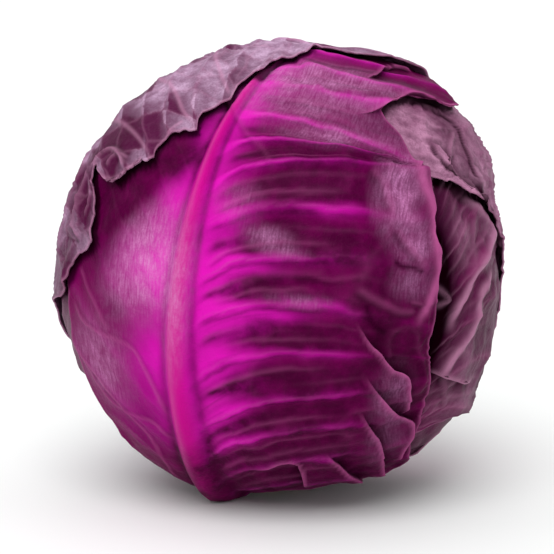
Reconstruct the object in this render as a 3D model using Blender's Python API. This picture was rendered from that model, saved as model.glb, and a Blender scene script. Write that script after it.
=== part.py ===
"""A red cabbage head, cut from its stalk and standing on the cut.

Seven loose outer leaves wrap a dense heart and spring from one stem. Lengths inside a leaf are in
millimetres and are turned to metres when its mesh is made. Every leaf is described on its own map of
the head: b runs along the midrib from the stem to the tip, a runs out from the midrib, and the side
veins are lines of equal b. Longitude 0 faces the front (-Y) and grows to the right (+X).
"""
import math

import bmesh
import bpy
import numpy as np
from mathutils import Vector

# Driving dimensions, millimetres and degrees
MM = 0.001
HEAD_RADIUS = 86.0
HEAD_CENTRE = np.array([8.0, 0.0, 86.0])
STEM_RADIUS = 15.5
STEM_SIDES = 28
STEM_BEVEL = 0.8
STEM_TOP = 15.0
GROUND_CLEARANCE = 0.6
BLADE = 1.2
LEAF_GAP = 0.45
HEART_DEPTH = 9.0
HEART_DEPTH_AT_STEM = 21.0
HEART_SEGMENTS = 32
HEART_RINGS = 16
TUCK_WIDTH = 46
RIB_FOOT = 2.2
PINCH_REACH = 8.0
PINCH_SHARE = 0.6

# Places where the packed head departs from a ball: longitude, latitude and width in degrees, and the
# share of the radius
BULGES = (
    (20, 76, 36, -0.045),
    (92, 14, 22, -0.030),
    (95, 42, 15, 0.032),
    (-64, -66, 20, 0.055),
    (-102, 49, 15, -0.025),
    (88, -50, 24, 0.105),
    (-88, -34, 26, 0.035),
)

# Each leaf: the longitude and latitude its map is centred on, how deep it lies under the head's
# outline, how much deeper it tucks in at the stem, and its tables.
# rib: (b, x) is the midrib's line. right and left: (b, a) is the margin, how far the blade reaches.
# rise_right and rise_left: (b, curl, slope, droop) bend the side veins upward from the midrib, and bend
# is the distance over which the curl builds up.
# veins: where side veins leave the midrib. left_veins: how strongly they show left of it.
# folds: a creased step, its points, side raised, height.
# ridges: a raised or sunk line, its points, width and height.
# columns: mesh columns right and left of the midrib. fine: whether each hollow has its own mesh row.
LEAVES = (
    dict(
        name="side_leaf", centre=(92, -8), depth=3.6, tuck=13, bend=14,
        rib_height=2.4, vein_height=0.8,
        rib=((-115, 0), (0, 4), (92, 0)),
        right=((-115, 34), (-95, 56), (-60, 75), (-20, 80), (30, 70), (60, 50), (84, 20), (92, 5)),
        left=((-115, 34), (-95, 56), (-60, 75), (-20, 80), (30, 70), (60, 50), (84, 20), (92, 5)),
        rise_right=((-115, 5, 0.2, 0), (-70, 14, 0.5, 0), (92, 8, 0.4, 0)),
        rise_left=((-115, 5, 0.2, 0), (-70, 14, 0.5, 0), (92, 8, 0.4, 0)),
        veins=(-96, -78, -60, -41, -22, -2, 19, 42, 66),
        left_veins=0.5, columns=(6, 6), fine=False, folds=(), ridges=(),
    ),
    dict(
        name="back_leaf", centre=(177, 0), depth=3.0, tuck=11, bend=16,
        rib_height=3.4, vein_height=1.1,
        rib=((-119, 2), (-60, -4), (20, -3), (122, 4)),
        right=((-119, 38), (-100, 70), (-70, 92), (-30, 100), (20, 98), (60, 80), (90, 52), (114, 20),
               (122, 5)),
        left=((-119, 38), (-100, 70), (-70, 92), (-30, 100), (20, 98), (60, 80), (90, 52), (114, 20),
              (122, 5)),
        rise_right=((-119, 6, 0.2, 0), (-70, 18, 0.45, 0), (0, 18, 0.45, 0), (122, 8, 0.3, 0)),
        rise_left=((-119, 6, 0.2, 0), (-70, 18, 0.45, 0), (0, 18, 0.45, 0), (122, 8, 0.3, 0)),
        veins=(-98, -82, -65, -49, -33, -16, 2, 21, 41, 62, 86),
        left_veins=0.5, columns=(7, 7), fine=False, folds=(), ridges=(),
    ),
    dict(
        name="right_leaf", centre=(42, 2), depth=2.6, tuck=8.5, bend=9,
        rib_height=2.6, vein_height=0.9,
        rib=((-127, 0), (-40, -2), (112, 0)),
        right=((-127, 18), (-100, 12), (-82, 13), (-77, 34), (-73, 62), (-66, 80), (-50, 87), (-20, 88),
               (20, 84), (55, 70), (85, 45), (105, 20), (112, 5)),
        left=((-127, 26), (-100, 46), (-70, 60), (-30, 70), (20, 70), (60, 55), (90, 30), (106, 12),
              (112, 5)),
        rise_right=((-127, 6, 0.1, 0), (-90, 20, 0.0, 0.001), (-72, 24, 0.0, 0.0025),
                    (-40, 20, 0.3, 0.001), (0, 16, 0.5, 0), (60, 10, 0.4, 0), (112, 4, 0.2, 0)),
        rise_left=((-127, 6, 0.2, 0), (-70, 14, 0.5, 0), (112, 6, 0.4, 0)),
        veins=(-104, -80, -73, -56, -38, -20, -2, 17, 38, 62, 88),
        left_veins=0.5, columns=(10, 4), fine=False,
        folds=(
            (((2, -33), (13, -35), (27, -39), (41, -42)), 1, 1.6),
        ),
        ridges=(
            (((9, -19), (12, -8), (19, 1), (24, 6), (31, 10), (40, 16), (45, 21), (41, 26),
              (28, 31), (19, 34)), 3.0, 2.2),
            (((11, -38), (12, -33), (17, -25), (25, -18), (26, -11), (28, -4), (35, 1), (45, 5)),
             2.6, 1.6),
            (((-3, 30), (-3, 16), (-3, 2), (-2, -10), (-1, -22), (1, -33)), 7.0, -6.0),
        ),
    ),
    dict(
        name="left_leaf", centre=(-98, 0), depth=1.9, tuck=6, bend=15,
        rib_height=3.0, vein_height=1.0,
        rib=((-111, -2), (-50, 3), (30, 0), (112, 0)),
        right=((-111, 34), (-95, 56), (-70, 72), (-40, 80), (0, 80), (40, 70), (75, 48), (100, 20),
               (112, 5)),
        left=((-111, 34), (-95, 56), (-70, 74), (-40, 84), (0, 84), (40, 72), (75, 50), (100, 22),
              (112, 5)),
        rise_right=((-111, 5, 0.2, 0), (-60, 16, 0.5, 0), (112, 8, 0.3, 0)),
        rise_left=((-111, 5, 0.2, 0), (-60, 16, 0.5, 0), (112, 8, 0.3, 0)),
        veins=(-92, -75, -58, -41, -23, -4, 15, 36, 58, 84),
        left_veins=0.5, columns=(6, 6), fine=False, folds=(), ridges=(),
    ),
    dict(
        name="crown_leaf", centre=(122, 42), depth=1.4, tuck=3.5, bend=14,
        rib_height=3.6, vein_height=1.2,
        rib=((-188, 0), (-90, -3), (0, 2), (68, 0)),
        right=((-188, 30), (-170, 52), (-140, 72), (-100, 86), (-50, 92), (0, 86), (30, 62), (55, 30),
               (68, 5)),
        left=((-188, 28), (-170, 40), (-140, 44), (-110, 47), (-92, 54), (-79, 65), (-71, 74), (-66, 80),
              (-54, 83), (-48, 85), (-39, 90), (-20, 94), (0, 88), (20, 74), (40, 50), (60, 18), (68, 5)),
        rise_right=((-188, 5, 0.15, 0), (-140, 10, 0.4, 0), (-80, 12, 0.6, 0), (68, 8, 0.5, 0)),
        rise_left=((-188, 5, 0.15, 0), (-140, 10, 0.45, 0), (-80, 10, 0.7, 0), (68, 8, 0.6, 0)),
        veins=(-166, -146, -127, -109, -92, -76, -62, -48, -34, -18, 0, 20, 42),
        left_veins=0.5, columns=(6, 8), fine=False,
        folds=(
            (((-68, 32), (-71, 23), (-77, 20), (-79, 11), (-78, 4), (-72, -9)), -1, 1.6),
        ),
        ridges=(),
    ),
    dict(
        name="front_leaf", centre=(-12, 2), depth=0.8, tuck=0.5, bend=20,
        rib_height=5.0, vein_height=2.0,
        rib=((-120, -9), (-109, -13), (-95, -16), (-64, -18), (-15, -20), (22, -19), (61, -16),
             (100, -9), (150, 0)),
        right=((-120, 66), (-117, 84), (-112, 91), (-105, 94), (-92, 98), (-38, 99), (2, 97), (22, 90),
               (50, 82), (75, 75), (92, 60), (98, 63), (104, 70), (109, 86), (114, 97), (122, 98),
               (136, 84), (150, 58)),
        left=((-120, 34), (-112, 44), (-105, 49), (-94, 57), (-80, 61), (-30, 62), (10, 62), (40, 58),
              (70, 50), (100, 38), (130, 26), (150, 14)),
        rise_right=((-120, 10, 0.2, 0), (-105, 28, 0.1, 0), (-85, 39, 0, 0), (-67, 35.5, 0, 0),
                    (-17, 25.5, 0, 0.0014), (1, 22, 0, 0.0003), (19, 19, 0, 0), (31, 23, 0, 0),
                    (50, 14, 0, 0.0008), (72, 2, 0, 0.0025), (95, -2, 0, 0.001), (150, -4, 0, 0)),
        rise_left=((-120, 4, 0.25, 0), (-100, 8, 0.5, 0), (-70, 12, 0.8, 0), (30, 14, 0.8, 0),
                   (80, 6, 0.4, 0), (150, 0, 0.1, 0)),
        veins=(-111, -100, -85, -67, -42, -19, -1, 19, 36, 54, 72, 92, 106, 124),
        left_veins=0.15, columns=(19, 6), fine=True,
        folds=(
            (((46, -3), (52, -13), (55, -16), (62, -24), (69, -28), (71, -35), (73, -49)), -1, 4.6),
            (((50, -23), (57, -34), (65, -44), (73, -51), (76, -54), (74, -66), (72, -80)), -1, 5.0),
            (((50, -39), (56, -52), (60, -59), (64, -76), (66, -90)), -1, 4.6),
            (((38, -62), (42, -68), (47, -76), (57, -90)), -1, 4.0),
            (((34, 78), (45, 83), (51, 88), (57, 96), (62, 100), (69, 102), (76, 101), (83, 102),
              (96, 107)), 1, 4.2),
            (((38, 102), (41, 105), (46, 114), (52, 128), (60, 132), (67, 131)), 1, 3.4),
            (((4, -78), (12, -76), (20, -70), (26, -70), (29, -78), (31, -96)), 1, 3.0),
        ),
        ridges=(
            (((70, -8), (77, 10), (76, 24), (70, 44), (60, 64)), 7.0, 1.8),
        ),
    ),
    dict(
        name="cap_leaf", centre=(-150, 48), depth=0.0, tuck=0, bend=12,
        rib_height=4.0, vein_height=1.3,
        rib=((-187, 0), (-100, 4), (0, 0), (75, 0)),
        right=((-187, 28), (-160, 56), (-135, 76), (-115, 98), (-102, 121), (-94, 129), (-72, 126),
               (-58, 127), (-50, 119), (-42, 101), (-36, 101), (-29, 109), (-20, 106), (-9, 103),
               (3, 94), (17, 86), (28, 75), (35, 68), (42, 62), (48, 52), (54, 42), (58, 30),
               (67, 16), (75, 4)),
        left=((-187, 30), (-170, 60), (-140, 90), (-100, 108), (-60, 108), (-20, 98), (10, 82), (35, 58),
              (55, 34), (67, 16), (75, 4)),
        rise_right=((-187, 6, 0.15, 0), (-140, 10, 0.35, 0), (-60, 10, 0.5, 0), (75, 10, 0.5, 0)),
        rise_left=((-187, 6, 0.15, 0), (-140, 10, 0.35, 0), (-60, 10, 0.5, 0), (75, 10, 0.5, 0)),
        veins=(-165, -144, -124, -105, -87, -70, -58, -45, -33, -20, -6, 9, 24, 40, 56),
        left_veins=0.5, columns=(11, 7), fine=False,
        folds=(
            (((100, 22), (104, 28), (107, 36), (104, 46), (99, 54)), 1, 1.6),
        ),
        ridges=(),
    ),
)

RIGHT, LEFT = 1, -1
STEM_DIRECTION = -HEAD_CENTRE / np.linalg.norm(HEAD_CENTRE)
FLOOR_STEP = 1.5
FLOOR_ROWS = int(180 / FLOOR_STEP)
FLOOR_COLUMNS = int(360 / FLOOR_STEP)

COLOURS = {
    "stem": (0.62, 0.52, 0.44, 1),
    "heart": (0.24, 0.03, 0.13, 1),
    "side_leaf": (0.09, 0.008, 0.035, 1),
    "back_leaf": (0.30, 0.06, 0.19, 1),
    "right_leaf": (0.19, 0.05, 0.11, 1),
    "left_leaf": (0.20, 0.04, 0.12, 1),
    "crown_leaf": (0.27, 0.08, 0.19, 1),
    "front_leaf": (0.55, 0.03, 0.35, 1),
    "cap_leaf": (0.33, 0.17, 0.27, 1),
}


def clear_scene():
    """Remove what a new Blender file holds."""
    for thing in list(bpy.data.objects):
        bpy.data.objects.remove(thing, do_unlink=True)


def direction(longitude, latitude):
    """Unit vector from the head's centre, angles in degrees."""
    lon, lat = math.radians(longitude), math.radians(latitude)
    return np.array([math.sin(lon) * math.cos(lat), -math.cos(lon) * math.cos(lat), math.sin(lat)])


def leaf_axes(centre):
    """The map's right, up (away from the stem) and outward axes for a leaf."""
    out = direction(*centre)
    up = -(STEM_DIRECTION - (STEM_DIRECTION @ out) * out)
    up /= np.linalg.norm(up)
    return np.cross(up, out), up, out


def curve(points, at):
    """Smooth line through (place, value) points, held flat past its ends."""
    table = np.array(points, float)
    places, values = table[:, 0], table[:, 1]
    slopes = np.gradient(values, places)
    at = np.clip(at, places[0], places[-1])
    i = np.clip(np.searchsorted(places, at) - 1, 0, len(places) - 2)
    step = places[i + 1] - places[i]
    t = (at - places[i]) / step
    return ((2 * t**3 - 3 * t**2 + 1) * values[i] + (t**3 - 2 * t**2 + t) * step * slopes[i]
            + (3 * t**2 - 2 * t**3) * values[i + 1] + (t**3 - t**2) * step * slopes[i + 1])


def blade_point(leaf, a, b):
    """Map position of the point a out from the midrib on the vein line b."""
    place = {}
    for side, rises in ((RIGHT, leaf["rise_right"]), (LEFT, leaf["rise_left"])):
        curl, slope, droop = (curve([(row[0], row[n]) for row in rises], b) for n in (1, 2, 3))
        out = np.abs(a)
        place[side] = b + curl * (1 - np.exp(-out / leaf["bend"])) + slope * out - droop * out**2
    return curve(leaf["rib"], b) + a, np.where(a >= 0, place[RIGHT], place[LEFT])


def on_head(axes, x, y):
    """Unit directions of map points: the map keeps true distance and bearing from its centre."""
    across, up, out = axes
    reach = np.hypot(x, y)
    angle = reach / HEAD_RADIUS
    share = np.where(reach > 1e-6, np.sin(angle) / np.maximum(reach, 1e-6), 1 / HEAD_RADIUS)
    return (np.cos(angle)[..., None] * out + (share * x)[..., None] * across
            + (share * y)[..., None] * up)


def outline_radius(rays):
    """Radius of the whole head along each ray."""
    swell = np.zeros(rays.shape[:-1])
    for longitude, latitude, width, share in BULGES:
        away = np.degrees(np.arccos(np.clip(rays @ direction(longitude, latitude), -1, 1)))
        swell += share * np.exp(-(away / width) ** 2)
    return HEAD_RADIUS * (1 + swell)


def depth_under(leaf, rays):
    """Depth of the plain blade under the head's outline: inner leaves tuck in towards the stem."""
    away = np.degrees(np.arccos(np.clip(rays @ STEM_DIRECTION, -1, 1)))
    return leaf["depth"] + leaf["tuck"] * np.exp(-(away / TUCK_WIDTH) ** 2)


def ground_limit(rays):
    """Largest radius that stays above the ground."""
    down = np.maximum(-rays[..., 2], 0.05)
    return (HEAD_CENTRE[2] - GROUND_CLEARANCE) / down


def distance_along(points, x, y):
    """Signed distance to a chain of points (left of its run is positive), the share run along it, and
    the nearest point's place."""
    points = np.array(points, float)
    lengths = np.hypot(*np.diff(points, axis=0).T)
    run = np.concatenate([[0], np.cumsum(lengths)])
    nearest = np.full(np.shape(x), 1e9)
    signed, share, near_x, near_y = (np.zeros(np.shape(x)) for _ in range(4))
    for i, length in enumerate(lengths):
        start, along = points[i], (points[i + 1] - points[i]) / length
        t = np.clip((x - start[0]) * along[0] + (y - start[1]) * along[1], 0, length)
        dx, dy = x - start[0] - t * along[0], y - start[1] - t * along[1]
        distance = np.hypot(dx, dy)
        closer = distance < nearest
        side = np.where(along[0] * dy - along[1] * dx >= 0, 1, -1)
        nearest = np.where(closer, distance, nearest)
        signed = np.where(closer, side * distance, signed)
        share = np.where(closer, (run[i] + t) / run[-1], share)
        near_x = np.where(closer, x - dx, near_x)
        near_y = np.where(closer, y - dy, near_y)
    return signed, share, near_x, near_y


def rib_width(leaf, b):
    """Half width of the midrib: broad at the stem, fine at the tip."""
    first, last = leaf["rib"][0][0], leaf["rib"][-1][0]
    return 1.6 + 4.6 * (1 - (b - first) / (last - first)) ** 1.3


def relief(leaf, a, b, x, y):
    """Height of midrib, side veins, folds and ridges above the plain blade."""
    first, last = leaf["rib"][0][0], leaf["rib"][-1][0]
    half = rib_width(leaf, b)
    taper = 0.25 + 0.75 * (1 - (b - first) / (last - first))
    height = leaf["rib_height"] * taper * np.exp(-(a / half) ** 2)
    reach = np.abs(a)
    strength = (1 - np.exp(-(reach / 9) ** 2)) * np.exp(-(reach / 74) ** 4)
    strength = strength * np.where(a >= 0, 1.0, leaf["left_veins"])
    crest = np.zeros(np.shape(a))
    for start in leaf["veins"]:
        past = b - start
        width = np.where(past >= 0, 5.0, RIB_FOOT)
        crest = np.maximum(crest, np.exp(-(past / width) ** 2))
    height = height + leaf["vein_height"] * strength * (crest - 0.3)
    for points, side, lift in leaf["folds"]:
        signed, share, _, _ = distance_along(points, x, y)
        signed = signed * side
        grown = np.clip(share / 0.35, 0, 1) * np.clip((1 - share) / 0.12, 0.35, 1)
        step = np.where(signed >= 0, np.exp(-signed / 16), -0.6 * np.exp(signed / 9))
        height = height + 0.5 * lift * grown * step
    for points, width, lift in leaf["ridges"]:
        signed, share, _, _ = distance_along(points, x, y)
        grown = np.clip(share / 0.15, 0, 1) * np.clip((1 - share) / 0.15, 0, 1)
        height = height + lift * grown * np.exp(-(signed / width) ** 2)
    return height


def pinch(leaf, x, y):
    """Draw map points together at each fold, so that its step comes out crisp."""
    for points, _, _ in leaf["folds"]:
        signed, share, near_x, near_y = distance_along(points, x, y)
        pull = PINCH_SHARE * np.exp(-(signed / PINCH_REACH) ** 2)
        pull = pull * np.clip(share / 0.1, 0, 1) * np.clip((1 - share) / 0.1, 0, 1)
        x, y = x + (near_x - x) * pull, y + (near_y - y) * pull
    return x, y


def row_places(leaf):
    """Vein lines that the mesh follows: each vein's foot and crest, and the hollow above it."""
    first, last = leaf["rib"][0][0], leaf["rib"][-1][0]
    rows = [first]
    veins = list(leaf["veins"]) + [last]
    for start, following in zip(veins, veins[1:]):
        rows += [start - RIB_FOOT, start]
        if leaf["fine"]:
            rows.append(start + 0.5 * (following - RIB_FOOT - start))
    rows += [0.5 * (rows[-1] + last), last]
    return np.array(rows)


def column_places(margin, half, count):
    """Distances out from the midrib: two beside it, the rest evenly to the margin."""
    first = np.minimum(1.0 * half, margin / count)
    second = np.minimum(2.2 * half, 2 * margin / count)
    rest = [second + (margin - second) * n / (count - 2) for n in range(1, count - 1)]
    return np.stack([first, second] + rest, axis=-1)


def leaf_grid(leaf):
    """Midrib distances a and vein lines b of the leaf's mesh points, rows by columns."""
    rows = row_places(leaf)
    half = rib_width(leaf, rows)
    right = column_places(curve(leaf["right"], rows), half, leaf["columns"][0])
    left = column_places(curve(leaf["left"], rows), half, leaf["columns"][1])
    a = np.concatenate([-left[:, ::-1], np.zeros((len(rows), 1)), right], axis=1)
    return a, np.repeat(rows[:, None], a.shape[1], axis=1)


def floor_cells(rays):
    """Row and column of each ray in the table of heights already taken up."""
    latitude = np.degrees(np.arcsin(np.clip(rays[..., 2], -1, 1)))
    longitude = np.degrees(np.arctan2(rays[..., 0], -rays[..., 1]))
    row = np.clip(((latitude + 90) / FLOOR_STEP).astype(int), 0, FLOOR_ROWS - 1)
    column = ((longitude + 180) / FLOOR_STEP).astype(int) % FLOOR_COLUMNS
    return row, column


def spread(floor):
    """Each cell takes the highest of its neighbours, so a gap holds between cells too."""
    grown = floor.copy()
    for rows in (-1, 0, 1):
        for columns in (-1, 0, 1):
            shifted = np.roll(np.roll(floor, columns, axis=1), rows, axis=0)
            if rows == 1:
                shifted[0] = floor[0]
            if rows == -1:
                shifted[-1] = floor[-1]
            grown = np.maximum(grown, shifted)
    return grown


def facet_samples(points, triangles, steps=8):
    """Points spread over flat facets, with the facet each one lies on."""
    weights = [(i / steps, j / steps, 1 - (i + j) / steps)
               for i in range(steps + 1) for j in range(steps + 1 - i)]
    corners = points[triangles]
    samples = np.einsum("wk,tkd->twd", np.array(weights), corners)
    return samples.reshape(-1, 3), np.repeat(np.arange(len(triangles)), len(weights))


def settle_on(floor, rays, radius, triangles, thickness, shape):
    """Raise the blade until its inner face clears everything laid before it, in soft swells."""
    taken = spread(floor)
    swell = np.zeros(len(rays))
    for _ in range(12):
        inner = rays * (radius + swell - thickness)[:, None]
        samples, facet = facet_samples(inner, triangles)
        reach = np.linalg.norm(samples, axis=1)
        short = taken[floor_cells(samples / reach[:, None])] + LEAF_GAP - reach
        lift = np.zeros(len(triangles))
        np.maximum.at(lift, facet, short)
        if lift.max() <= 0.01:
            break
        raised = np.zeros(len(rays))
        for corner in range(3):
            np.maximum.at(raised, triangles[:, corner], lift)
        swell = swell + raised
        soft = swell.reshape(shape)
        for _ in range(2):
            ringed = np.pad(soft, 1, mode="edge")
            around = (ringed[:-2, 1:-1] + ringed[2:, 1:-1] + ringed[1:-1, :-2] + ringed[1:-1, 2:]) / 4
            soft = np.maximum(soft, around)
        swell = soft.ravel()
    return radius + swell


def lay_on(floor, points, triangles):
    """Enter a finished outer face in the table of heights."""
    samples, _ = facet_samples(points, triangles)
    reach = np.linalg.norm(samples, axis=1)
    np.maximum.at(floor, floor_cells(samples / reach[:, None]), reach)


def grid_triangles(rows, columns):
    """Two triangles for each square of a grid of points, wound the same way."""
    index = np.arange(rows * columns).reshape(rows, columns)
    a, b, c, d = index[:-1, :-1], index[:-1, 1:], index[1:, 1:], index[1:, :-1]
    middle = columns // 2
    falling = np.broadcast_to(np.arange(columns - 1) < middle, a.shape)
    first = np.where(falling[..., None], np.stack([a, b, d], -1), np.stack([a, b, c], -1))
    second = np.where(falling[..., None], np.stack([b, c, d], -1), np.stack([a, c, d], -1))
    return np.concatenate([first.reshape(-1, 3), second.reshape(-1, 3)])


def plain_material(name):
    """A satin plant surface in the piece's main colour."""
    material = bpy.data.materials.new(name)
    material.use_nodes = True
    shader = material.node_tree.nodes["Principled BSDF"]
    shader.inputs["Base Color"].default_value = COLOURS[name]
    shader.inputs["Roughness"].default_value = 0.45
    shader.inputs["Metallic"].default_value = 0.0
    return material


def add_object(name, mesh_data):
    """Link a bmesh as one named object, shaded smooth, with its own material."""
    bmesh.ops.recalc_face_normals(mesh_data, faces=mesh_data.faces)
    mesh = bpy.data.meshes.new(name)
    mesh_data.to_mesh(mesh)
    mesh_data.free()
    mesh.shade_smooth()
    mesh.set_sharp_from_angle(angle=math.radians(50))
    mesh.materials.append(plain_material(name))
    thing = bpy.data.objects.new(name, mesh)
    bpy.context.collection.objects.link(thing)
    return thing


def add_leaf(leaf, floor):
    """One leaf: outer face, inner face a blade's thickness in, and the cut edge between them."""
    a, b = leaf_grid(leaf)
    x, y = pinch(leaf, *blade_point(leaf, a, b))
    rays = on_head(leaf_axes(leaf["centre"]), x, y)
    height = relief(leaf, a, b, x, y)
    radius = np.minimum(outline_radius(rays) - depth_under(leaf, rays) + height, ground_limit(rays))
    rib = leaf["rib_height"] * np.exp(-(a / rib_width(leaf, b)) ** 2)
    thickness = (BLADE + 0.6 * rib).ravel()
    rows, columns = a.shape
    triangles = grid_triangles(rows, columns)
    rays = rays.reshape(-1, 3)
    radius = settle_on(floor, rays, radius.ravel(), triangles, thickness, (rows, columns))
    outer = rays * radius[:, None]
    lay_on(floor, outer, triangles)
    inner = rays * (radius - thickness)[:, None]

    data = bmesh.new()
    faces = []
    for points in (outer, inner):
        corners = [data.verts.new(Vector((point + HEAD_CENTRE) * MM)) for point in points]
        faces.append([data.faces.new([corners[i] for i in triangle]) for triangle in triangles])
    bmesh.ops.reverse_faces(data, faces=faces[1])
    data.verts.ensure_lookup_table()
    count = len(outer)
    for edge in [edge for edge in data.edges if edge.is_boundary and edge.verts[0].index < count]:
        first, second = edge.verts[0], edge.verts[1]
        data.faces.new((first, second, data.verts[second.index + count]))
        data.faces.new((first, data.verts[second.index + count], data.verts[first.index + count]))
    return add_object(leaf["name"], data)


def add_heart(floor):
    """The dense heart: a ball of packed inner leaves, their overlapping margins in relief."""
    data = bmesh.new()
    bmesh.ops.create_uvsphere(data, u_segments=HEART_SEGMENTS, v_segments=HEART_RINGS, radius=1)
    bmesh.ops.triangulate(data, faces=data.faces)
    rays = np.array([vertex.co.normalized()[:] for vertex in data.verts])
    away = np.degrees(np.arccos(np.clip(rays @ STEM_DIRECTION, -1, 1)))
    depth = HEART_DEPTH + (HEART_DEPTH_AT_STEM - HEART_DEPTH) * np.exp(-(away / 50) ** 2)
    turn = np.degrees(np.arctan2(rays[:, 0], -rays[:, 1])) + 0.6 * away
    margin = (turn / 137.5) % 1
    radius = outline_radius(rays) - depth + 1.4 * (0.5 - margin) * np.sin(np.radians(away)) ** 2
    for vertex, ray, reach in zip(data.verts, rays, radius):
        vertex.co = Vector((ray * reach + HEAD_CENTRE) * MM)
    data.verts.ensure_lookup_table()
    triangles = np.array([[vertex.index for vertex in face.verts] for face in data.faces])
    lay_on(floor, rays * radius[:, None], triangles)
    return add_object("heart", data)


def add_stem():
    """The cut stalk: flat below, narrowing towards the head's centre, slightly lobed."""
    data = bmesh.new()
    bmesh.ops.create_cone(data, cap_ends=True, segments=STEM_SIDES, radius1=1, radius2=1, depth=1)
    for vertex in data.verts:
        turn = math.atan2(vertex.co.y, vertex.co.x)
        reach = STEM_RADIUS * (1 - 0.03 * (1 + math.cos(5 * turn)))
        top = STEM_TOP / HEAD_CENTRE[2] if vertex.co.z > 0 else 0
        foot = np.array([reach * math.cos(turn), reach * math.sin(turn), 0])
        vertex.co = Vector((foot + (HEAD_CENTRE - foot) * top) * MM)
    ground = STEM_BEVEL * MM / 4
    rim = [edge for edge in data.edges if max(vertex.co.z for vertex in edge.verts) < ground]
    bmesh.ops.bevel(data, geom=rim, offset=STEM_BEVEL * MM, segments=1, affect="EDGES")
    bmesh.ops.triangulate(data, faces=data.faces)
    return add_object("stem", data)


def main():
    clear_scene()
    floor = np.zeros((FLOOR_ROWS, FLOOR_COLUMNS))
    add_stem()
    add_heart(floor)
    for leaf in LEAVES:
        add_leaf(leaf, floor)


main()
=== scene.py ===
"""A red cabbage head, standing on its cut stalk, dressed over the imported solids.

Every leaf is a fine sheet laid over the head. A leaf is described on its own map of the head, in
millimetres: b runs along the midrib from the stalk to the tip, a runs out from the midrib, and the side
veins are lines of equal b. Longitude 0 faces the front (-Y) and grows to the right (+X).
"""
import itertools
import math
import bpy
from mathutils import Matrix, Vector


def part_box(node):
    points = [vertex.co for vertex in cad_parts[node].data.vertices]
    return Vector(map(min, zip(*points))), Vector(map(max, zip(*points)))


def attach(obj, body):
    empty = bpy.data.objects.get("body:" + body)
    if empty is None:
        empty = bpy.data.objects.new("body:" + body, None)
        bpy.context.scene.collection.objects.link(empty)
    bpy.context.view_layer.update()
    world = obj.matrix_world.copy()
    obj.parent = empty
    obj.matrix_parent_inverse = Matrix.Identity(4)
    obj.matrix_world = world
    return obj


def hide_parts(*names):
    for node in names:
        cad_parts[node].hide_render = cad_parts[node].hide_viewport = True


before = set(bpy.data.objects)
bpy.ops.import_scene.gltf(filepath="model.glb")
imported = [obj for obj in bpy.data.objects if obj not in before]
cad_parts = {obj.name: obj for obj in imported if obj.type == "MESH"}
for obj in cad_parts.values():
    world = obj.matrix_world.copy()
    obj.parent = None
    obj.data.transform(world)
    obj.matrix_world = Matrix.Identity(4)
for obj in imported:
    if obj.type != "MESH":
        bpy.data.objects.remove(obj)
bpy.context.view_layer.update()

from types import SimpleNamespace

import bpy
import numpy as np
from bpy.props import FloatProperty, FloatVectorProperty, PointerProperty, StringProperty
from mathutils import Vector

bl_info = {
    "name": "Red cabbage head",
    "version": (1, 0, 0),
    "blender": (4, 5, 0),
    "location": "3D View > Sidebar > Cabbage",
    "description": "Builds a red cabbage head leaf by leaf over its packed solids",
    "category": "Add Mesh",
}

# The head, in millimetres, with the stalk's cut at the origin
MM = 0.001
HEAD_RADIUS = 86.0
HEAD_CENTRE = np.array([8.0, 0.0, 86.0])
STEM_DIRECTION = -HEAD_CENTRE / np.linalg.norm(HEAD_CENTRE)
GROUND_CLEARANCE = 0.6
TUCK_WIDTH = 46

# The heart lies this deep under the head's outline, and deeper round the stem, within a width in degrees.
# Its leaf margins are low steps that wind round it, one for each turn from one leaf to the next.
HEART_DEPTH = 9.0
HEART_DEPTH_AT_STEM = 21.0
HEART_TUCK_WIDTH = 50
HEART_STEP = 1.4
HEART_SPIRAL = 0.6
LEAF_TURN = 137.5

# The stalk is faintly lobed, by a share of its radius, and its rim is trimmed
STALK_SIDES = 80
STALK_LOBES = 5
STALK_LOBE_DEPTH = 0.03
STALK_RIM = 0.8

# A leaf loses this share of its relief where a later one covers it, easing in from so far inside that
# one's margin, and a painted contact shadow lies along the margin as a dark line, this far out and this wide
SMOOTHED_UNDER = 0.85
COVERED_FROM, COVERED_OVER = 4, 8
CONTACT_SHIFT, CONTACT_WIDTH = 0.5, 1.3

# How strongly and how widely the sheet's points are drawn together at a fold
PINCH_SHARE, PINCH_WIDTH = 0.72, 6

# How far out side veins have risen and where they run out, and their widths on the tip's side and on the
# stalk's
VEIN_START, VEIN_END = 9, 92
VEIN_ABOVE, VEIN_BELOW = 4.6, 3.0

# Widths: a fold's step, the slope of its high side and of its low one, and a ridge's crest painted pale as a
# highlight
FOLD_STEP, FOLD_HIGH, FOLD_LOW, RIDGE_CREST = 0.45, 16, 9, 1.9

# A plain blade clears what is already there by this much, and how softly it and the finished one do so
LIFT_START, LIFT_SOFTNESS, LAST_SOFTNESS = 0.4, 0.6, 0.25

# Which side of a fold's run lies on top
LEFT_ON_TOP, RIGHT_ON_TOP = 1, -1

# Random fields over the head: seed, and the size of one swell in millimetres
SWELLS = {
    "vein wobble": (11, 9),
    "vein quiver": (12, 3.5),
    "panel shift": (13, 11),
    "mesh shift": (14, 8),
    "broad dents": (15, 10),
    "dents": (16, 4.6),
    "small dents": (17, 2.2),
    "creases": (18, 15),
    "small creases": (19, 7),
    "drift out": (25, 15),
    "drift along": (26, 15),
    "blotches": (31, 16),
    "wax": (32, 20),
}

# Seeds of the patterns on a leaf's own map, and the finer veins: seed, and place between two side veins
MARGIN_SEEDS = (7, 8)
PANEL_SEED, MESH_SEED, CRACK_SEED, FINE_CRACK_SEED = 21, 22, 27, 28
STRIAE_SEEDS = (33, 34)
FINE_VEINS = ((41, 0.30), (42, 0.63))

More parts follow.
